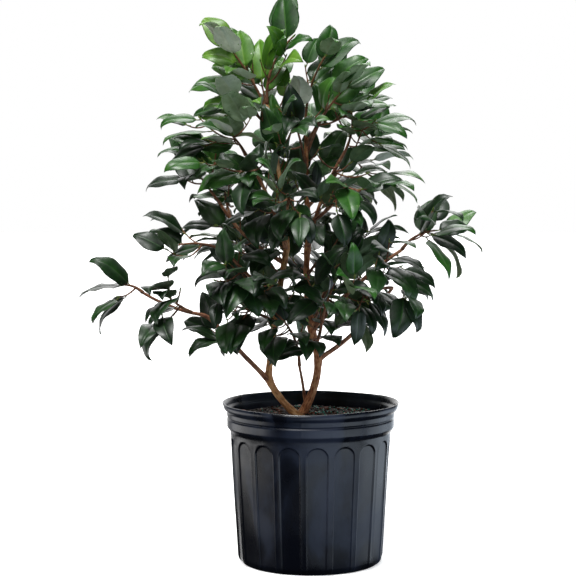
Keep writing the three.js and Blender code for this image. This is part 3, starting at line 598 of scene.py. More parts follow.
    def shoot(self, carrier, share, dice, margin, number=None):
        """One fine twig with its leaves, if it finds room."""
        start = point_on(carrier.path, share)
        axis = direction_on(carrier.path, share)
        lean = math.radians(dice.between(*TWIG["lean"]))
        length = dice.between(*FINE["length"])
        turn = dice.between(0, 2 * math.pi)
        if number is None:
            number = int(np.linalg.norm(self.middles - start, axis=1).argmin())
        others = [tube for tube in self.tubes if tube is not carrier]
        tube = self.branch(number, start, axis, lean, turn, length, FINE["radii"], others, margin)
        if tube is None or self.spears(tube):
            return
        bare, size = FINE["bare"], FINE["leaf"]
        leaves = self.dress(number, tube, bare, dice, self.tubes, [], self.leaves, size, margin)
        if leaves:
            self.tubes.append(tube)
            self.leaves += leaves
            self.sprays.append(Spray(number, "fine", tube, leaves))

    def spears(self, tube):
        """Whether a twig runs through a leaf that is already there."""
        near = [leaf for leaf in self.leaves if np.linalg.norm(leaf.centre - tube.path[-1]) < LEAF["length"]]
        if not near:
            return False
        triangles = np.array([leaf.points for leaf in near])[:, NET_TRIANGLES].reshape(-1, 3, 3)
        return any_pierced(tube.path[:-1], tube.path[1:], triangles)


def grow_crown():
    crown = Crown()
    for number in range(len(crown.names)):
        crown.grow_mass(number)
    for number in range(len(crown.names)):
        crown.refine(number)
    for number, name in enumerate(LIMBS):
        if name not in SHOOTS["bare"]:
            crown.clothe(name, SHOOTS["dice"] + number)
    return crown


# ---------- meshes


class Pile:
    """Faces gathered for one joined piece, with a vector stored at each point."""

    def __init__(self):
        self.points, self.faces, self.slots, self.marks = [], [], [], []
        self.count = 0

    def add(self, points, faces, slots=0, marks=None):
        """Adds points, faces as corner numbers, the faces' material slots and the points' vectors."""
        self.points.append(points)
        self.marks.append(np.zeros_like(points) if marks is None else marks)
        self.faces += [[corner + self.count for corner in face] for face in faces]
        self.slots += [slots] * len(faces) if isinstance(slots, int) else list(slots)
        self.count += len(points)

    def make(self, name, materials, mark="grain"):
        mesh = bpy.data.meshes.new(name)
        mesh.from_pydata((np.vstack(self.points) * MM).tolist(), [], self.faces)
        for material in materials:
            mesh.materials.append(material)
        mesh.polygons.foreach_set("material_index", np.array(self.slots, np.int32))
        mesh.polygons.foreach_set("use_smooth", np.ones(len(self.faces), bool))
        layer = mesh.attributes.new(mark, "FLOAT_VECTOR", "POINT")
        layer.data.foreach_set("vector", np.vstack(self.marks).astype(np.float32).ravel())
        mesh.update()
        return put(name, mesh)


def put(name, data):
    """A new object of the scene."""
    thing = bpy.data.objects.new(name, data)
    bpy.context.scene.collection.objects.link(thing)
    return thing


def attach(piece, slot, *nodes):
    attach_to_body(piece, "root")
    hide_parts(*nodes)


def ring_grid(rows, columns):
    """The quads between rows of closed rings."""
    faces = []
    for low in range(0, (rows - 1) * columns, columns):
        for column in range(columns):
            after = (column + 1) % columns
            faces.append((low + column, low + after, low + columns + after, low + columns + column))
    return faces


def closed_rings(rows, first, last):
    """A closed shape of rings: the middle of its first ring at height first, of its last at height last."""
    columns = len(rows[0])
    points = np.vstack([*rows, [[0, 0, first], [0, 0, last]]])
    centre = len(points) - 2
    faces = ring_grid(len(rows), columns)
    for column in range(columns):
        after = (column + 1) % columns
        faces.append((centre, after, column))
        faces.append((centre + 1, centre - columns + column, centre - columns + after))
    return points, faces


GRAIN_SHIFT = np.array([37.0, 11.0, 71.0])  # between the grain of one tube and the next
GRAINS = 97  # how many tubes have a place of their own in the grain


def tube_frames(path):
    """Two directions square to a path at each of its points, carried along without twist."""
    tangents = np.gradient(path, axis=0)
    tangents /= np.linalg.norm(tangents, axis=1)[:, None]
    upright = abs(tangents[0][2]) > UPRIGHT
    across = [square_to(-FACE if upright else UP, tangents[0])]
    for tangent in tangents[1:]:
        across.append(square_to(across[-1], tangent))
    across = np.array(across)
    return across, np.cross(tangents, across)


def skin_tube(pile, path, radii, sides, relief=None, seed=0):
    """A closed tube along a path. relief turns the ring places into extra radius, and the seed sets where
    in the bark's grain the tube lies."""
    across, other = tube_frames(path)
    turns = np.arange(sides) / sides * 2 * math.pi
    lengths = np.concatenate([[0], np.cumsum(np.linalg.norm(np.diff(path, axis=0), axis=1))])
    wide = np.broadcast_to(np.asarray(radii, float)[:, None], (len(path), sides))
    rim = across[:, None] * np.cos(turns)[None, :, None] + other[:, None] * np.sin(turns)[None, :, None]
    grain = np.stack([np.cos(turns) * wide, np.sin(turns) * wide, lengths[:, None] + 0 * wide], -1)
    grain = grain + GRAIN_SHIFT * (seed % GRAINS)
    if relief is not None:
        wide = wide + relief(grain, lengths[:, None], turns[None])
    points = (path[:, None] + rim * wide[..., None]).reshape(-1, 3)
    last = (len(path) - 1) * sides
    faces = ring_grid(len(path), sides)
    faces.append(tuple(range(sides - 1, -1, -1)))
    faces.append(tuple(range(last, last + sides)))
    pile.add(points, faces, marks=grain.reshape(-1, 3) * MM)


# ---------- materials


def light_values(tone):
    """A colour given as 8-bit screen values, as the shader's own light values."""
    return tuple((value / 255 + 0.055) ** 2.4 / 1.055**2.4 if value > 10 else value / 3295
                 for value in tone) + (1.0,)


class Finish:
    """A material being wired: its shader and short ways to add nodes. The ways return the node's output,
    and take an output or a constant for each value."""

    def __init__(self, name, roughness, **settings):
        self.material = bpy.data.materials.new(name)
        self.material.use_nodes = True
        self.tree = self.material.node_tree
        self.shader = self.tree.nodes["Principled BSDF"]
        self.fill(self.shader, {"Roughness": roughness})
        self.fill(self.shader, {socket.replace("_", " "): value for socket, value in settings.items()})

    def fill(self, node, inputs):
        """Gives a node's inputs, by name or number, their constants or the outputs that feed them."""
        for socket, value in inputs.items():
            if isinstance(value, bpy.types.NodeSocket):
                self.tree.links.new(value, node.inputs[socket])
            else:
                node.inputs[socket].default_value = value

    def node(self, kind, inputs, **settings):
        node = self.tree.nodes.new("ShaderNode" + kind)
        for setting, value in settings.items():
            setattr(node, setting, value)
        self.fill(node, inputs)
        return node

    def mark(self, name):
        """A vector stored on the piece's points."""
        return self.node("Attribute", {}, attribute_name=name).outputs["Vector"]

    def place(self, name=None, scale=(1, 1, 1)):
        """The piece's own coordinates, or a stored vector, stretched."""
        source = self.mark(name) if name else self.node("TexCoord", {}).outputs["Object"]
        return self.node("Mapping", {"Vector": source, "Scale": scale}).outputs["Vector"]

    def parts(self, vector):
        """A vector's three parts."""
        return self.node("SeparateXYZ", {0: vector}).outputs

    def noise(self, vector, scale, detail=3.0, roughness=0.55, distortion=0.0):
        inputs = {"Vector": vector, "Scale": scale, "Detail": detail, "Roughness": roughness}
        return self.node("TexNoise", {**inputs, "Distortion": distortion}).outputs["Fac"]

    def ramp(self, factor, *stops):
        """Colours at shares of a factor; each stop is (share, its 8-bit screen values)."""
        node = self.node("ValToRGB", {"Fac": factor})
        elements = node.color_ramp.elements
        while len(elements) < len(stops):
            elements.new(0.5)
        for element, (share, tone) in zip(elements, stops):
            element.position = share
            element.color = light_values(tone)
        return node.outputs["Color"]

    def span(self, value, low, high, to_low=0.0, to_high=1.0):
        """A value carried over from one range to another."""
        inputs = {"Value": value, "From Min": low, "From Max": high, "To Min": to_low, "To Max": to_high}
        return self.node("MapRange", inputs).outputs["Result"]

    def maths(self, operation, *values):
        return self.node("Math", dict(enumerate(values)), operation=operation).outputs[0]

    def times(self, value, share):
        return self.maths("MULTIPLY", value, share)

    def scaled_sum(self, first, share, second, other_share):
        """Two values, each times its share, added."""
        return self.maths("ADD", self.times(first, share), self.times(second, other_share))

    def blend(self, factor, first, tone):
        """A colour between an output's and one given by its 8-bit screen values."""
        inputs = {"Factor": factor, 6: first, 7: light_values(tone)}
        return self.node("Mix", inputs, data_type="RGBA").outputs[2]

    def base(self, value):
        self.fill(self.shader, {"Base Color": value})

    def gloss(self, value, rough, rougher, low=0.3, high=0.7):
        """Uneven gloss: the roughness that a value's low and high ends stand for."""
        self.fill(self.shader, {"Roughness": self.span(value, low, high, rough, rougher)})

    def bump(self, height, distance, strength=1.0):
        bump = self.node("Bump", {"Height": height, "Distance": distance, "Strength": strength})
        self.fill(self.shader, {"Normal": bump.outputs["Normal"]})


def leaf_upper(name, deep, middle, pale):
    """Glossy upper side: mottled greens, a pale midrib and soft side veins."""
    finish = Finish(name, 0.4, Specular_IOR_Level=0.45, Coat_Weight=0.22, Coat_Roughness=0.3)
    along, across, luck = finish.parts(finish.mark("blade"))
    tone = finish.scaled_sum(finish.noise(finish.place(), 70, detail=4), 0.7, luck, 0.45)
    green = finish.ramp(tone, (0.25, deep), (0.6, middle), (0.95, pale))
    off_rib = finish.maths("ABSOLUTE", across)
    veins = side_veins(finish, along, off_rib)
    ribbed = finish.blend(finish.span(off_rib, 0.02, 0.075, 0.55, 0.0), green, pale)
    finish.base(finish.blend(finish.times(veins, 0.18), ribbed, pale))
    finish.gloss(finish.noise(finish.place(), 90), 0.36, 0.54)
    grain = finish.noise(finish.place(), 90, detail=1)
    finish.bump(finish.maths("SUBTRACT", grain, finish.times(veins, 0.5)), 0.0002, 0.22)
    return finish.material


def side_veins(finish, along, off_rib):
    """Narrow lines that leave the midrib in pairs and run towards the tip."""
    wave = finish.maths("SUBTRACT", finish.times(along, 9.0), finish.times(off_rib, 2.0))
    return finish.span(finish.maths("PINGPONG", wave, 0.5), 0.0, 0.12, 1.0, 0.0)


def leaf_under(name, base, pale):
    """Matt underside, paler, with a raised midrib."""
    finish = Finish(name, 0.5)
    along, across, _ = finish.parts(finish.mark("blade"))
    off_rib = finish.maths("ABSOLUTE", across)
    mottle = finish.ramp(finish.noise(finish.place(), 90), (0.3, base), (0.75, pale))
    rib = finish.span(off_rib, 0.03, 0.09, 0.7, 0.0)
    veins = side_veins(finish, along, off_rib)
    lines = finish.maths("MAXIMUM", rib, finish.times(veins, 0.2))
    finish.base(finish.blend(lines, mottle, pale))
    finish.gloss(finish.noise(finish.place(), 200), 0.42, 0.6)
    finish.bump(finish.maths("ADD", finish.noise(finish.place(), 500), veins), 0.0003, 0.5)
    return finish.material


def bark_finish(name, dark, middle, light, streak=0.5):
    """Bark whose streaks run along the limb, by the grain stored on its points."""
    finish = Finish(name, 0.72, Specular_IOR_Level=0.35)
    streaks = finish.noise(finish.place("grain", (1, 1, 0.22)), 480, detail=5, roughness=0.65)
    patches = finish.noise(finish.place("grain"), 70)
    tone = finish.scaled_sum(streaks, streak, patches, 1 - streak)
    finish.base(finish.ramp(tone, (0.34, dark), (0.5, middle), (0.66, light)))
    finish.gloss(streaks, 0.85, 0.55)
    finish.bump(streaks, 0.0012, 0.8)
    return finish.material


def pot_finish():
    """Blown blue-black plastic: uneven gloss, faint dust, soft blotches of painted reflection, a painted
    light on the rim's bead, bands and lip, and a soft ripple.
    """
    finish = Finish("pot_plastic", 0.32, Specular_IOR_Level=0.5)
    # Soft cloud-like blotches of painted reflection in the base colour; the same noise sets the uneven
    # gloss.
    painted_reflection_and_gloss = finish.noise(finish.place(scale=(1, 1, 0.6)), 13, detail=2.5, roughness=0.5, distortion=0.5)
    dust = finish.noise(finish.place(scale=(1, 1, 0.4)), 130, detail=5, roughness=0.7)
    height = finish.parts(finish.place())["Z"]
    # The tone adds a painted light above 200 mm, on the bead, bands and lip, to the blotches of painted
    # reflection and the fine dust.
    tone = finish.maths("ADD", finish.scaled_sum(painted_reflection_and_gloss, 0.85, dust, 0.15),
                        finish.span(height, 0.2, 0.206, 0.0, 0.07))
    finish.base(finish.ramp(tone, (0.44, (8, 11, 20)), (0.5, (13, 18, 30)),
                            (0.56, (29, 36, 51)), (0.7, (41, 48, 65))))
    finish.gloss(painted_reflection_and_gloss, 0.22, 0.42, 0.35, 0.65)
    finish.bump(finish.noise(finish.place(), 14, detail=1.5), 0.0035, 0.5)
    return finish.material


def soil_finish():
    finish = Finish("potting_soil", 0.92, Specular_IOR_Level=0.25)
    grit = finish.noise(finish.place(), 260, detail=6, roughness=0.7)
    finish.base(finish.ramp(grit, (0.35, (18, 13, 11)), (0.55, (42, 29, 23)),
                            (0.75, (84, 54, 38))))
    finish.gloss(grit, 0.98, 0.8)
    finish.bump(grit, 0.003)
    return finish.material


def plain_finish(name, dark, light, scale, roughness, depth=0.0004, **settings):
    """A small part's finish: two tones by noise, uneven gloss and fine bumps."""
    finish = Finish(name, roughness, **settings)
    speckle = finish.noise(finish.place(), scale, detail=4)
    finish.base(finish.ramp(speckle, (0.35, dark), (0.65, light)))
    finish.gloss(speckle, roughness - 0.08, roughness + 0.1)
    finish.bump(speckle, depth, 0.6)
    return finish.material


# ---------- leaves and twigs

BLADE_ROWS = 12
BLADE_COLUMNS = np.array([-1, -0.9, -0.5, -0.09, 0, 0.09, 0.5, 0.9, 1])
BLADE = {
    "rise": 0.58, "fall": 1.08, "crowd": 0.95, "hook": (10, 46), "hook_from": 0.72, "sway": 0.05,
    "camber": 0.2, "foot_width": 0.8, "foot": 0.06, "ripple": 0.035, "waves": (1.4, 2.6), "sides_apart": 1.4,
    "rib_groove": 0.45, "rib_ridge": 0.75, "rib_fades": (0.12, 0.75), "thickness": 0.55,
    "petiole": (1.05, 0.8), "petiole_rise": 0.6, "petiole_sunk": 2.5, "petiole_steps": 4,
    "petiole_sides": 6,
}


def blade_faces():
    """The faces of a blade's closed shell, whose two sides share their edges and their tip, and the
    faces' slots: 0 above and 1 below."""
    columns = len(BLADE_COLUMNS)
    above = np.arange(BLADE_ROWS * columns).reshape(BLADE_ROWS, columns)
    below = above.copy()
    tip = above.size + BLADE_ROWS * (columns - 2)
    below[:, 1:-1] = np.arange(above.size, tip).reshape(BLADE_ROWS, columns - 2)
    faces, slots = [], []
    for column in range(columns - 1):
        a, b = above[:, column].tolist(), above[:, column + 1].tolist()
        c, d = below[:, column].tolist(), below[:, column + 1].tolist()
        for row in range(BLADE_ROWS - 1):
            after = row + 1
            faces += [(a[row], b[row], b[after], a[after]), (d[row], c[row], c[after], d[after])]
            slots += [0, 1]
        faces += [(a[-1], b[-1], tip), (d[-1], c[-1], tip), (b[0], a[0], c[0], d[0])]
        slots += [0, 1, 1]
    return [tuple(dict.fromkeys(face)) for face in faces], slots


def blade_outline(shares):
    """Half width at shares of a blade's length, as a share of the full half width: an oval drawn out to a
    narrow point."""
    rise, fall = BLADE["rise"], BLADE["fall"]
    widest = rise / (rise + fall)
    return shares**rise * (1 - shares) ** fall / (widest**rise * (1 - widest) ** fall)


def blade_mesh(leaf, dice):
    """A leaf's shell: its points, their marks (along, across, luck) and the blade's foot."""
    length, width = leaf.length * LIVE_SIZE, leaf.width * LIVE_SIZE
    shares = np.linspace(0, 1, BLADE_ROWS + 1) ** BLADE["crowd"]
    hook = math.radians(dice.between(*BLADE["hook"])) * smooth_step(BLADE["hook_from"], 1, shares)
    along, faces = leaf.turned(shares, hook)
    hops = (along[:-1] + along[1:]) / 2 * np.diff(shares)[:, None] * length
    rib = leaf.root + leaf.heading * LEAF["petiole"] + np.vstack([np.zeros(3), np.cumsum(hops, 0)])
    sway = dice.between(-BLADE["sway"], BLADE["sway"]) * length * np.sin(math.pi * shares)
    rib = rib + leaf.side * sway[:, None]
    foot = BLADE["foot_width"] * (1 - smooth_step(0, BLADE["foot"], shares))
    half = 0.5 * width * blade_outline(shares) + foot
    across = BLADE_COLUMNS
    phase = dice.between(0, 2 * math.pi) + BLADE["sides_apart"] * np.sign(across)
    waves = 2 * math.pi * dice.between(*BLADE["waves"])
    ripple = BLADE["ripple"] * width * np.sin(waves * shares[:, None] + phase)
    arc = half[:, None] * np.abs(across)
    lift = arc * math.sin(leaf.fold) - BLADE["camber"] * arc * np.abs(across) + ripple * across**2
    begins, ends = BLADE["rib_fades"]
    on_rib = (across == 0) * (smooth_step(0, begins, shares) * (1 - smooth_step(ends, 1, shares)))[:, None]
    groove, ridge = BLADE["rib_groove"] * on_rib, BLADE["rib_ridge"] * on_rib
    spread = np.sign(across) * arc * math.cos(leaf.fold)
    top = rib[:, None] + leaf.side * spread[..., None] + faces[:, None] * (lift - groove)[..., None]
    depth = BLADE["thickness"] * (1 - np.abs(across) ** 4) + ridge + groove
    under = top - faces[:, None] * depth[..., None]
    points = np.vstack([top[:-1].reshape(-1, 3), under[:-1, 1:-1].reshape(-1, 3), rib[-1]])
    luck = dice.roll()
    marks = np.stack(np.broadcast_arrays(shares[:-1, None], across, luck), -1)
    marks = np.vstack([marks.reshape(-1, 3), marks[:, 1:-1].reshape(-1, 3), [1, 0, luck]])
    return points, marks, rib[0]


def petiole_path(leaf, foot):
    """A short stalk from the twig's heart into the blade's foot, with a slight rise."""
    end = foot + leaf.heading * BLADE["petiole_sunk"]
    return bend(leaf.root, end, -BLADE["petiole_rise"] * leaf.face, BLADE["petiole_steps"])


# Painted light in the leaves: how high and how far out a spray stands picks a paler or deeper copy of the
# same green, partly young growth and partly painted backlight and shade.
LIGHT = {"high": 0.54, "out": 0.12, "luck": 0.36, "heights": (430, 780), "reaches": (60, 190)}
LIT_FROM = {"bright": 0.72, "fresh": 0.46}


PIECE_DICE = {"leaves": 7, "twigs": 11}


def spray_tint(spray, dice):
    """Which green a spray gets: bright where it stands high or far out, partly young growth and partly
    painted backlight, and deep inside and low, which is painted shade.
    """
    x, y, z = spray.tube.path[-1]
    high = smooth_step(*LIGHT["heights"], z)
    out = smooth_step(*LIGHT["reaches"], math.hypot(x - CROWN_AXIS, y))
    light = LIGHT["high"] * high + LIGHT["out"] * out + LIGHT["luck"] * dice.roll()
    return next((tint for tint, least in LIT_FROM.items() if light > least), "deep")


# Three copies of one green: the deep one is painted shade for the crown's inside, the bright one partly
# young growth and partly painted backlight.
GREENS = {
    "deep": ((5, 22, 6), (12, 43, 11), (44, 86, 31)),
    "fresh": ((18, 52, 12), (38, 88, 24), (76, 126, 44)),
    "bright": ((48, 98, 20), (80, 132, 32), (124, 166, 58)),
}
# The undersides by the same dealing: the bright sprays' near-white undersides are painted backlight shining
# through the leaf, and the deep sprays' dark ones are painted shade.
UNDERSIDES = {
    "deep": ((66, 90, 56), (98, 122, 84)),
    "fresh": ((122, 144, 102), (166, 184, 144)),
    "bright": ((196, 202, 182), (232, 236, 220)),
}


def make_leaves(crown):
    """Every leaf in one of three greens, dealt out by spray, which paint backlight and shade into the crown.
    """
    piles = {tint: Pile() for tint in GREENS}
    masses = {tint: set() for tint in GREENS}
    stalks = Pile()
    faces, slots = blade_faces()
    dice = Dice(PIECE_DICE["leaves"])
    for spray in crown.sprays:
        tint = spray_tint(spray, dice)
        for leaf in spray.leaves:
            points, marks, foot = blade_mesh(leaf, dice)
            piles[tint].add(points, faces, slots, marks)
            path = petiole_path(leaf, foot)
            radii = np.linspace(*BLADE["petiole"], len(path))
            skin_tube(stalks, path, radii, BLADE["petiole_sides"])
        masses[tint].add(crown.names[spray.mass])
    for tint, pile in piles.items():
        upper = leaf_upper(f"leaf_{tint}", *GREENS[tint])
        under = leaf_under(f"leaf_{tint}_underside", *UNDERSIDES[tint])
        attach(pile.make(f"leaves_{tint}", [upper, under], "blade"), "foliage", *sorted(masses[tint]))
    finish = plain_finish("leaf_stalk", (96, 110, 44), (140, 138, 70), 300, 0.45)
    attach(stalks.make("leaf_stalks", [finish]), "foliage", *crown.names)


TWIG_BARK = {"waves": (2.2, 2.2, 6.0), "wavy": 0.16, "knots": 13, "knot": 0.22, "knot_width": 1.1,
             "collar": 0.7, "collar_rings": 2.5, "step": 4, "sides": 8}
BUD = {"length": (6, 9), "width": (1.1, 1.6), "sunk": 1.5, "rings": 7, "sides": 8,
       "start": 0.12, "run": 0.86, "blunt": 0.8}


def twig_relief(grain, lengths, turns):
    """Small swellings along a twig, where leaves have been."""
    knots = hump(lengths % TWIG_BARK["knots"] - TWIG_BARK["knots"] / 2, TWIG_BARK["knot_width"])
    return TWIG_BARK["wavy"] * noise(grain / np.array(TWIG_BARK["waves"])) + TWIG_BARK["knot"] * knots


def make_twigs(crown):
    twigs, buds = Pile(), Pile()
    dice = Dice(PIECE_DICE["twigs"])
    for number, spray in enumerate(crown.sprays):
        path = spray.tube.fine(TWIG_BARK["step"])
        radii = np.linspace(*SHOWN_RADII[spray.kind], len(path))
        if spray.kind == "lead":
            rings = np.arange(len(path))
            radii = radii + TWIG_BARK["collar"] * np.exp(-rings / TWIG_BARK["collar_rings"])
        skin_tube(twigs, path, radii, TWIG_BARK["sides"], twig_relief, number)
        add_bud(buds, path[-1], direction_on(path, 1), dice)
    finish = bark_finish("twig_bark", (70, 44, 32), (120, 80, 56), (160, 114, 82))
    attach(twigs.make("twigs", [finish]), "bark", *crown.names)
    tips = plain_finish("bud_scales", (84, 110, 44), (132, 152, 72), 500, 0.4)
    attach(buds.make("buds", [tips]), "foliage", *crown.names)


def add_bud(pile, base, way, dice):
    """A pointed bud in line with its twig."""
    length, width = dice.between(*BUD["length"]), dice.between(*BUD["width"])
    shares = np.linspace(0, 1, BUD["rings"])
    path = base + way * (shares * length - BUD["sunk"])[:, None]
    arc = math.pi * (BUD["start"] + BUD["run"] * shares) ** BUD["blunt"]
    radii = width * np.sin(arc) ** BUD["blunt"]
    skin_tube(pile, path, radii, BUD["sides"])


# ---------- bark


BARK = {
    "step": 2.5, "smoothings": 14, "furrows": (3.4, 3.4, 17.0), "flakes": (1.6, 1.6, 7.0), "flaky": 0.5,
    "first_ring": 9.0, "rings_apart": (9, 24), "ring": 0.32, "ring_width": 0.9, "ring_sides": (0.55, 0.45),
    "collar": 0.28, "collar_reach": 9, "root": 0.45, "root_reach": 11,
    "thick": 4, "depth": (0.26, 0.42), "stout": 3.4, "sides": (14, 20),
}
BARK_TONES = {  # dark, middle and light, and the share of streaks over patches
    "tan": ((88, 50, 30), (212, 148, 96), (252, 214, 160), 0.5),
    "red": ((64, 35, 24), (182, 116, 76), (240, 184, 134), 0.65),
    "brown": ((58, 35, 27), (150, 98, 70), (212, 158, 120), 0.6),
}


def chain_path(crown, names):
    """One smooth path through limbs that run on into each other, with its radii."""
    paths = [crown.limbs[name].fine(BARK["step"]) for name in names]
    widths = [np.linspace(*LIMBS[name]["radii"], len(path)) for name, path in zip(names, paths)]
    path = np.vstack(paths[:1] + [more[1:] for more in paths[1:]])
    radii = np.concatenate(widths[:1] + [more[1:] for more in widths[1:]])
    for _ in range(BARK["smoothings"]):
        for line in (path, radii):
            line[1:-1] = (line[:-2] + 2 * line[1:-1] + line[2:]) / 4
    return path, radii


def bark_relief(depth, seed):
    """Streaks and furrows along the limb, with a ring where each old leaf stood."""

    def relief(grain, lengths, turns):
        furrows = noise(grain / np.array(BARK["furrows"]), seed)
        flakes = noise(grain / np.array(BARK["flakes"]), seed + 5, layers=1)
        rings = np.zeros_like(furrows)
        dice = Dice(seed + 40)
        place = BARK["first_ring"]
        even, one_sided = BARK["ring_sides"]
        while place < lengths.max():
            reach = even + one_sided * np.cos(turns - dice.between(0, 2 * math.pi))
            rings += reach * hump(lengths - place, BARK["ring_width"])
            place += dice.between(*BARK["rings_apart"])
        return depth * (furrows + BARK["flaky"] * flakes) + BARK["ring"] * rings

    return relief


def collars(crown, path, names):
    """How much a limb swells where others leave it."""
    extra = np.zeros(len(path))
    for name, limb in LIMBS.items():
        if limb.get("on") in names and name not in names:
            fork = crown.limbs[name]
            away = np.linalg.norm(path - fork.path[0], axis=1)
            extra += BARK["collar"] * fork.radii[0] * hump(away, BARK["collar_reach"])
    return extra


def make_bark(crown):
    """One piece of bark for each chain of limbs, and for each limb that is in none."""
    finishes = {kind: bark_finish("bark_" + kind, *tones) for kind, tones in BARK_TONES.items()}
    chained = {name for _, names, _ in BARKS for name in names}
    alone = [("bark_" + name, (name,), "brown") for name in LIMBS if name not in chained]
    for number, (piece_name, names, kind) in enumerate(BARKS + alone):
        path, radii = chain_path(crown, names)
        if "foot" in LIMBS[names[0]]:
            radii = radii + flare(path)
        else:
            along = np.linalg.norm(path - path[0], axis=1)
            radii = radii + BARK["root"] * radii[0] * hump(along, BARK["root_reach"])
        radii = radii + collars(crown, path, names)
        relief = bark_relief(BARK["depth"][radii.mean() > BARK["thick"]], number)
        sides = BARK["sides"][radii.mean() > BARK["stout"]]
        pile = Pile()
        skin_tube(pile, path, radii, sides, relief, number + 3)
        attach(pile.make(piece_name, [finishes[kind]]), "bark", *names)


# ---------- pot


MOST_CUT = 0.45  # the most of a straight that a rounded corner takes
POT_STEP = {"crest": 1.1, "arch": 1.8, "plain": 7.0, "inside": 8.0, "least": 0.3}  # mm; least is a share
CREST = 5  # how far below a flute's top its crest begins


def rounded(corners):
    """A line through (radius, height, rounding) corners, with its corners rounded."""
    places = np.array([corner[:2] for corner in corners], float)
    made = [places[0]]
    for before, here, after, (_, _, rounding) in zip(places, places[1:], places[2:], corners[1:]):
        shorter = min(np.linalg.norm(here - before), np.linalg.norm(after - here))
        cut = min(rounding, MOST_CUT * shorter)
        made += list(curve(here + unit(before - here) * cut, here, here + unit(after - here) * cut, 4))
    return np.array([*made, places[-1]])


def pot_section():
    """The pot's section: up the outside from the underside's middle to the rim, and down inside."""
    wall, floor, hollow, underside = (POT[key] for key in ("wall", "floor", "hollow", "underside"))
    lip, band, groove, bead = (POT[key] for key in ("lip_foot", "band", "groove", "bead"))
    shoulder, foot, top, rim = (POT[key] for key in ("shoulder", "foot", "height", "rim"))
    outside = [
        (0, hollow, 0), (underside * 0.86, hollow, 1), (underside * 0.88, 0, 0.6), (underside, 0, 3),
        (*foot, 5), (*shoulder, 2.5), (bead[0], bead[1], 1.4), (bead[0], bead[2], 1), (*groove, 0.8),
        (band[0], band[1], 1), (band[0], band[2], 1.5), (*lip, 1.6), (rim, top, 1.1),
    ]
    inside = [
        (rim - 2, top, 1), (lip[0] - wall, lip[1], 1.5), (band[0] - wall, band[2], 1.5),
        (band[0] - wall, groove[1], 1), (bead[0] - wall, bead[1], 1.5), (shoulder[0] - wall, shoulder[1], 2),
        (foot[0] - wall, foot[1] + floor, 4), (underside - wall, floor, 2), (0, floor, 0),
    ]
    return rounded(outside), rounded(inside)


def subdivided(outline, steps):
    """An outline with extra points, so that no stretch is longer than steps(height)."""
    made = [outline[0]]
    for start, end in zip(outline[:-1], outline[1:]):
        place, length = 0.0, np.linalg.norm(end - start)
        while length - place > 1e-6:
            height = mix(start[1], end[1], place / length)
            place = min(length, place + steps(height))
            if length - place < POT_STEP["least"] * steps(height):
                place = length
            made.append(mix(start, end, place / length))
    return np.array(made)


FLUTE_ROUND = FLUTES["width"] / 2  # the radius of a flute's arch
FLUTE_SPRING = FLUTES["top"] - FLUTE_ROUND  # the height the arch springs from
FLUTE_EDGE = (-2.2, -1.5, -0.9, -0.4, 0.0, 0.4, 1.1)  # columns beside a flute's edge, from inside to outside
FLUTE_FLOOR = (0.3, 0.58, 0.82)  # columns across half its floor
INSIDE_COLUMNS_AT = 40.0  # the height whose columns the unfluted inside takes
LEAST_RADIUS = 60.0  # nearer the axis the columns only close in
LEAST_PLACES = {"floor": 0.5, "edge": 0.6, "apart": 0.15}  # keep the columns in order where a flute closes
REOPENS = 9  # the height above a flute's top over which its columns spread again
WALL_WAVES = ((0.7, 2, 0.6), (0.45, 3, 2.1), (0.25, 7, 1.0))
RIM_WAVES = ((0.9, 2, 1.9), (0.5, 5, 0.0))
SEAMS = ((-97, 0.5), (-83, 0.7), (-76, 0.45), (-66, 0.6), (92, 0.6), (178, 0.5))  # turn in degrees, size
SEAM_WIDTH = 0.5  # degrees
CORNER = {"turn": 181, "size": 1.6, "width": 5.0}  # a soft outward corner of the lip
# The heights over which each form comes in, and how far the rim may rise past the pot's height.
COMES_IN = {"waves": 150, "seams": (206, 210), "corner": 225, "rim": 228, "flutes": (-1, 7), "swell": 30}
RIM_RISE = 0.4
SWELL = {"size": 0.45, "bumps": 2.6, "tall": 60, "seed": 3}  # the wall's slow unevenness


def flute_half(height):
    """Half a flute's width at heights: it widens upwards and closes in a round arch."""
    straight = mix(FLUTES["foot_width"] / 2, FLUTE_ROUND, np.clip(height / FLUTE_SPRING, 0, 1))
    arch = np.sqrt(np.clip(FLUTE_ROUND**2 - (height - FLUTE_SPRING) ** 2, 0, None))
    reopened = FLUTE_ROUND * smooth_step(0, REOPENS, height - FLUTES["top"])
    return np.where(height <= FLUTE_SPRING, straight, np.where(height <= FLUTES["top"], arch, reopened))


def flute_depth(across, height, radius):
    """How deep the wall is pressed in at places across a flute: a flat panel with soft edges."""
    half = flute_half(np.minimum(height, FLUTE_SPRING))
    outside = np.where(height <= FLUTE_SPRING, np.abs(across) - half,
                       np.hypot(across, height - FLUTE_SPRING) - FLUTE_ROUND)
    pressed = 1 - smooth_step(*FLUTES["edge"], outside)
    panel = np.clip(half**2 - across**2, 0, None) / (2 * radius)
    ridge = FLUTES["ridge"] * hump(outside - FLUTES["ridge_at"], FLUTES["ridge_width"])
    return pressed * (FLUTES["depth"] + FLUTES["flat"] * panel) - ridge


def pot_columns(height, radius):
    """Places across one sector of the wall at a height, crowded at the flute's edges."""
    half_sector = math.pi * radius / FLUTES["count"]
    half = flute_half(height)
    floor = np.maximum(half + FLUTE_EDGE[0], LEAST_PLACES["floor"])
    least = [LEAST_PLACES["edge"] + LEAST_PLACES["apart"] * k for k in range(len(FLUTE_EDGE))]
    edge = [np.maximum(half + offset, place) for offset, place in zip(FLUTE_EDGE, least)]
    right = [share * floor for share in FLUTE_FLOOR] + edge + [mix(edge[-1], half_sector, 0.5)]
    return np.array([-half_sector] + [-place for place in reversed(right)] + [0] + right)


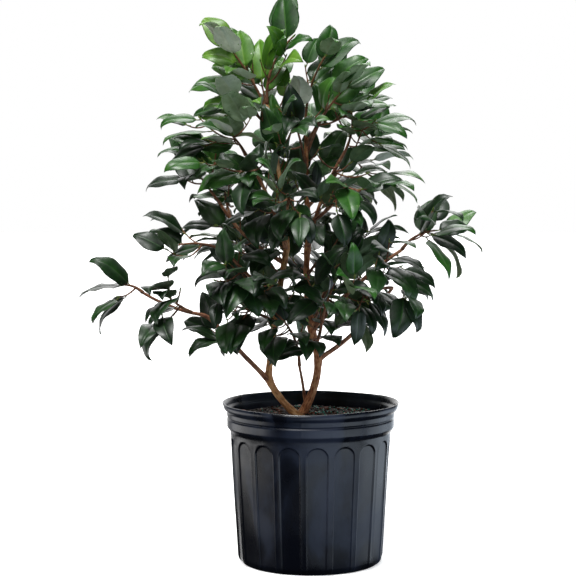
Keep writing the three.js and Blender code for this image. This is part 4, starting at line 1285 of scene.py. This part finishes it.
def waves(turns, rows):
    """Waves round the wall added up; each row is its size, its count and where it starts."""
    return sum(size * np.sin(count * turns + start) for size, count, start in rows)


def degrees_from(turns, place):
    """How far turns are from a place, both ways round."""
    return (np.degrees(turns) - place + 180) % 360 - 180


def lip_shape(turns, height):
    """How far the thin upper wall strays from round: slow waves, upright mould seams and a corner."""
    seams = sum(size * hump(degrees_from(turns, place), SEAM_WIDTH) for place, size in SEAMS)
    corner = CORNER["size"] * hump(degrees_from(turns, CORNER["turn"]), CORNER["width"])
    slow = smooth_step(COMES_IN["waves"], POT["height"], height) * waves(turns, WALL_WAVES)
    seams = seams * smooth_step(*COMES_IN["seams"], height)
    return slow + seams + corner * smooth_step(COMES_IN["corner"], POT["height"], height)


def pot_rows(outline, outer):
    """The points of one side of the pot's wall, row by row."""
    count = FLUTES["count"]
    rows = []
    for radius, height in outline:
        wall = max(radius, 1e-3)
        wide = max(radius, LEAST_RADIUS)
        columns = pot_columns(np.float64(height if outer else INSIDE_COLUMNS_AT), wide) * wall / wide
        fluted = outer and 0 < height < FLUTES["top"] + 3 and radius > POT["underside"] * 0.95
        faded = smooth_step(*COMES_IN["flutes"], height)
        depth = flute_depth(columns, height, wall) * faded if fluted else 0
        starts = [math.radians(FLUTES["turn"] - 90 + 360 / count * k) for k in range(count)]
        turns = np.concatenate([columns / wall + start for start in starts])
        places = wall - np.tile(np.broadcast_to(depth, columns.shape), count)
        if radius > POT["underside"] * 0.9:
            bumps = ring(turns, SWELL["bumps"], height / SWELL["tall"])
            swell = SWELL["size"] * noise(bumps, SWELL["seed"]) * smooth_step(0, COMES_IN["swell"], height)
            places = places + swell + lip_shape(turns, height)
        heights = height + waves(turns, RIM_WAVES) * smooth_step(COMES_IN["rim"], POT["height"], height)
        rows.append(ring(turns, places, np.minimum(heights, POT["height"] + RIM_RISE)))
    return rows


def make_pot():
    def fine(height):
        if FLUTE_SPRING < height < FLUTES["top"] + 1:
            return POT_STEP["crest" if height > FLUTES["top"] - CREST else "arch"]
        return POT_STEP["plain"]

    outside, inside = pot_section()
    rows = pot_rows(subdivided(outside[1:], fine), True)
    rows += pot_rows(subdivided(inside[:-1], lambda height: POT_STEP["inside"]), False)
    points, faces = closed_rings(rows, outside[0][1], inside[-1][1])
    pile = Pile()
    pile.add(points, faces)
    attach(pile.make("pot_wall", [pot_finish()]), "pot", "pot")


# ---------- soil


def soil_height(x, y):
    """The soil's rough surface: a low mound, lower at the wall, with crumbs."""
    radius = np.hypot(x, y)
    mound = np.interp(radius, [0, SOIL["crown_radius"], SOIL["shoulder"], SOIL["wall"]],
                      [SOIL["crown"], SOIL["crown"], SOIL["shoulder_height"], SOIL["edge"]])
    places = np.stack([x, y, np.zeros_like(x)], -1)
    crumbs = sum(size * noise(places / breadth, seed, layers) for size, breadth, seed, layers in CRUMBS)
    return mound + crumbs - SOIL["settled"]


def make_soil():
    rings, columns = SOIL["rings"], SOIL["columns"]
    turns = np.arange(columns) / columns * 2 * math.pi
    rows = []
    for number in range(1, rings + 1):
        x, y, _ = ring(turns, SOIL["radius"] * number / rings, 0).T
        rows.append(np.stack([x, y, soil_height(x, y)], -1))
    rows += [ring(turns, radius, height) for radius, height in SOIL["under"]]
    middle = soil_height(np.zeros(1), np.zeros(1))[0]
    points, faces = closed_rings(rows, middle, SOIL["under"][-1][1])
    pile = Pile()
    pile.add(points, [face[::-1] for face in faces])
    attach(pile.make("soil_bed", [soil_finish()]), "soil", "soil")


STREWN = {"reach": 112, "stems": ((-12, -21), (-16, -4)), "clear": 11}


def scattered(count, dice):
    """Places on the soil, even over its disc, clear of the stems."""
    made = []
    while len(made) < count:
        radius = STREWN["reach"] * math.sqrt(dice.roll())
        turn = dice.between(0, 2 * math.pi)
        x, y = radius * math.cos(turn), radius * math.sin(turn)
        if min(math.hypot(x - foot_x, y - foot_y) for foot_x, foot_y in STREWN["stems"]) > STREWN["clear"]:
            made.append((x, y))
    return made


def strew(kinds, add_one, prefix, *looks):
    """Small things lying on the soil, a piece for each kind: its count, its dice and its two tones."""
    for name, (count, seed, dark, light) in kinds.items():
        dice = Dice(seed)
        pile = Pile()
        for x, y in scattered(count, dice):
            add_one(pile, np.array([x, y, *soil_height(np.array([x]), np.array([y]))]), dice)
        attach(pile.make(name, [plain_finish(prefix + name, dark, light, *looks)]), "soil", "soil")


BOX = np.array([(x, y, z) for z in (-1, 1) for y in (-1, 1) for x in (-1, 1)], float)
BOX_FACES = [(0, 2, 3, 1), (4, 5, 7, 6), (0, 1, 5, 4), (2, 6, 7, 3), (0, 4, 6, 2), (1, 3, 7, 5)]
CHIP = {
    "half_sizes": ((1.5, 6), (0.8, 2.4), (0.4, 1.2)), "jitter": (0.65, 1.15), "pitch": (-0.4, 0.4),
    "lift": 0.4,
}
PRILL = {"radius": (1.1, 1.8), "lift": 0.5, "bare_left_of": -30, "bare": 0.88, "rings": 6, "sides": 8,
         "poles": 0.98}


def add_chip(pile, place, dice):
    """A splinter of bark, lying almost flat."""
    size = np.array([dice.between(*span) for span in CHIP["half_sizes"]])
    jitter = np.array([[dice.between(*CHIP["jitter"]) for _ in range(3)] for _ in range(8)])
    corners = BOX * size * jitter
    turn, pitch = dice.between(0, 2 * math.pi), dice.between(*CHIP["pitch"])
    across = np.array([math.cos(turn), math.sin(turn), 0.0])
    along = np.array([-math.sin(turn), math.cos(turn), 0.0])
    tipped = across * math.cos(pitch) + UP * math.sin(pitch)
    made = corners[:, :1] * tipped + corners[:, 1:2] * along + corners[:, 2:] * np.cross(tipped, along)
    pile.add(made + (place + CHIP["lift"] * UP), BOX_FACES)


def add_prill(pile, place, dice):
    """A coated pellet of feed; few of them lie to the left of the stems."""
    if place[0] < PRILL["bare_left_of"] and dice.roll() < PRILL["bare"]:
        return
    radius = dice.between(*PRILL["radius"])
    shares = np.linspace(-PRILL["poles"], PRILL["poles"], PRILL["rings"])
    path = place + PRILL["lift"] * radius * UP + UP * (shares * radius)[:, None]
    skin_tube(pile, path, radius * np.sqrt(1 - shares**2), PRILL["sides"])


def make_litter():
    """Bark chips, dark and reddish, and feed pellets."""
    chips = {
        "chips_dark": (330, 51, (26, 17, 13), (60, 40, 30)),
        "chips_red": (170, 52, (76, 40, 26), (140, 82, 54)),
    }
    prills = {
        "prills_green": (470, 61, (10, 58, 50), (52, 146, 122)),
        "prills_cream": (26, 62, (150, 138, 104), (206, 196, 160)),
    }
    strew(chips, add_chip, "soil_", 400, 0.85, 0.0006)
    strew(prills, add_prill, "feed_", 600, 0.26)


# ---------- studio


CAMERA = {"lens": 120.8, "sensor": 36, "place": (-0.034, -2.894, 0.6575), "tilt": 85.22}  # metres, degrees


def add_camera():
    data = bpy.data.cameras.new("camera")
    data.lens = CAMERA["lens"]
    data.sensor_width = CAMERA["sensor"]
    camera = put("camera", data)
    camera.location = CAMERA["place"]
    camera.rotation_euler = (math.radians(CAMERA["tilt"]), 0, 0)
    bpy.context.scene.camera = camera


def add_sun(name, strength, towards, spread):
    data = bpy.data.lights.new(name, "SUN")
    data.energy = strength
    data.angle = math.radians(spread)
    put(name, data).rotation_euler = Vector(towards).to_track_quat("-Z", "Y").to_euler()


def add_softbox(name, power, size, place, aim, tint=(1, 1, 1)):
    data = bpy.data.lights.new(name, "AREA")
    data.energy = power
    data.color = tint
    data.shape = "RECTANGLE"
    data.size, data.size_y = size
    box = put(name, data)
    box.location = place
    box.rotation_euler = (Vector(aim) - Vector(place)).to_track_quat("-Z", "Y").to_euler()
    box.visible_camera = False


FLOOR_REACH = 9000


def add_floor():
    pile = Pile()
    pile.add(FLOOR_REACH * np.array([(-1, -1, 0), (1, -1, 0), (1, 1, 0), (-1, 1, 0)], float), [(0, 1, 2, 3)])
    finish = plain_finish("studio_white", (244, 244, 244), (250, 250, 250), 3, 0.8,
                          Specular_IOR_Level=0.0, Emission_Color=(1, 1, 1, 1), Emission_Strength=0.6)
    floor = pile.make("studio_floor", [finish])
    floor.visible_glossy = False
    floor.visible_diffuse = False
    floor.visible_shadow = False


def add_world():
    """White behind the plant for the camera, and a soft grey room for everything else."""
    world = bpy.data.worlds.new("studio")
    bpy.context.scene.world = world
    world.use_nodes = True
    tree = world.node_tree
    room = tree.nodes["Background"]
    room.inputs["Color"].default_value = (0.94, 0.97, 1.0, 1)
    room.inputs["Strength"].default_value = 0.02
    backdrop = tree.nodes.new("ShaderNodeBackground")
    backdrop.inputs["Color"].default_value = (1, 1, 1, 1)
    rays = tree.nodes.new("ShaderNodeLightPath")
    either = tree.nodes.new("ShaderNodeMixShader")
    tree.links.new(rays.outputs["Is Camera Ray"], either.inputs[0])
    tree.links.new(room.outputs[0], either.inputs[1])
    tree.links.new(backdrop.outputs[0], either.inputs[2])
    tree.links.new(either.outputs[0], tree.nodes["World Output"].inputs["Surface"])


def light_studio():
    bpy.context.scene.view_settings.view_transform = "Standard"
    add_floor()
    add_world()
    add_sun("sun_above", 3.4, (0.2, 0.3, -1.0), 24)
    add_sun("sun_back", 1.2, (-0.1, -0.8, -0.8), 30)
    cool = (0.76, 0.87, 1.0)
    add_softbox("softbox_left", 4.6, (1.6, 0.48), (-1.06, 0.1, 0.12), (0, 0, 0.12))
    add_softbox("softbox_right", 2.8, (0.9, 0.85), (0.95, -0.75, 0.18), (0, 0, 0.18), cool)
    add_softbox("softbox_side", 4.2, (0.95, 0.8), (1.13, 0.2, 0.06), (0, 0, 0.06), cool)
    add_softbox("softbox_rim", 2.6, (1.1, 0.7), (1.0, 1.3, 0.0), (0, 0, 0.05), cool)
    add_softbox("softbox_low", 1.8, (0.8, 0.7), (0.42, -1.3, -0.05), (0, 0, -0.05), cool)
    add_softbox("softbox_back", 36, (3.0, 2.2), (0, 2.4, 1.1), (0, 0, 0.5))
    add_softbox("softbox_edges", 9, (2.6, 0.9), (0, 2.4, -0.45), (0, 0, 0.1))
    add_softbox("softbox_below", 3.6, (1.4, 1.6), (0.55, -1.1, 0.02), (0.55, -1.1, 1.0), cool)
    add_softbox("softbox_front", 17, (1.6, 1.0), (-0.7, -2.2, 2.0), (0, 0, 0.5))


# ---------- the part

add_camera()
crown = grow_crown()
make_pot()
make_soil()
make_litter()
make_bark(crown)
make_twigs(crown)
make_leaves(crown)
light_studio()
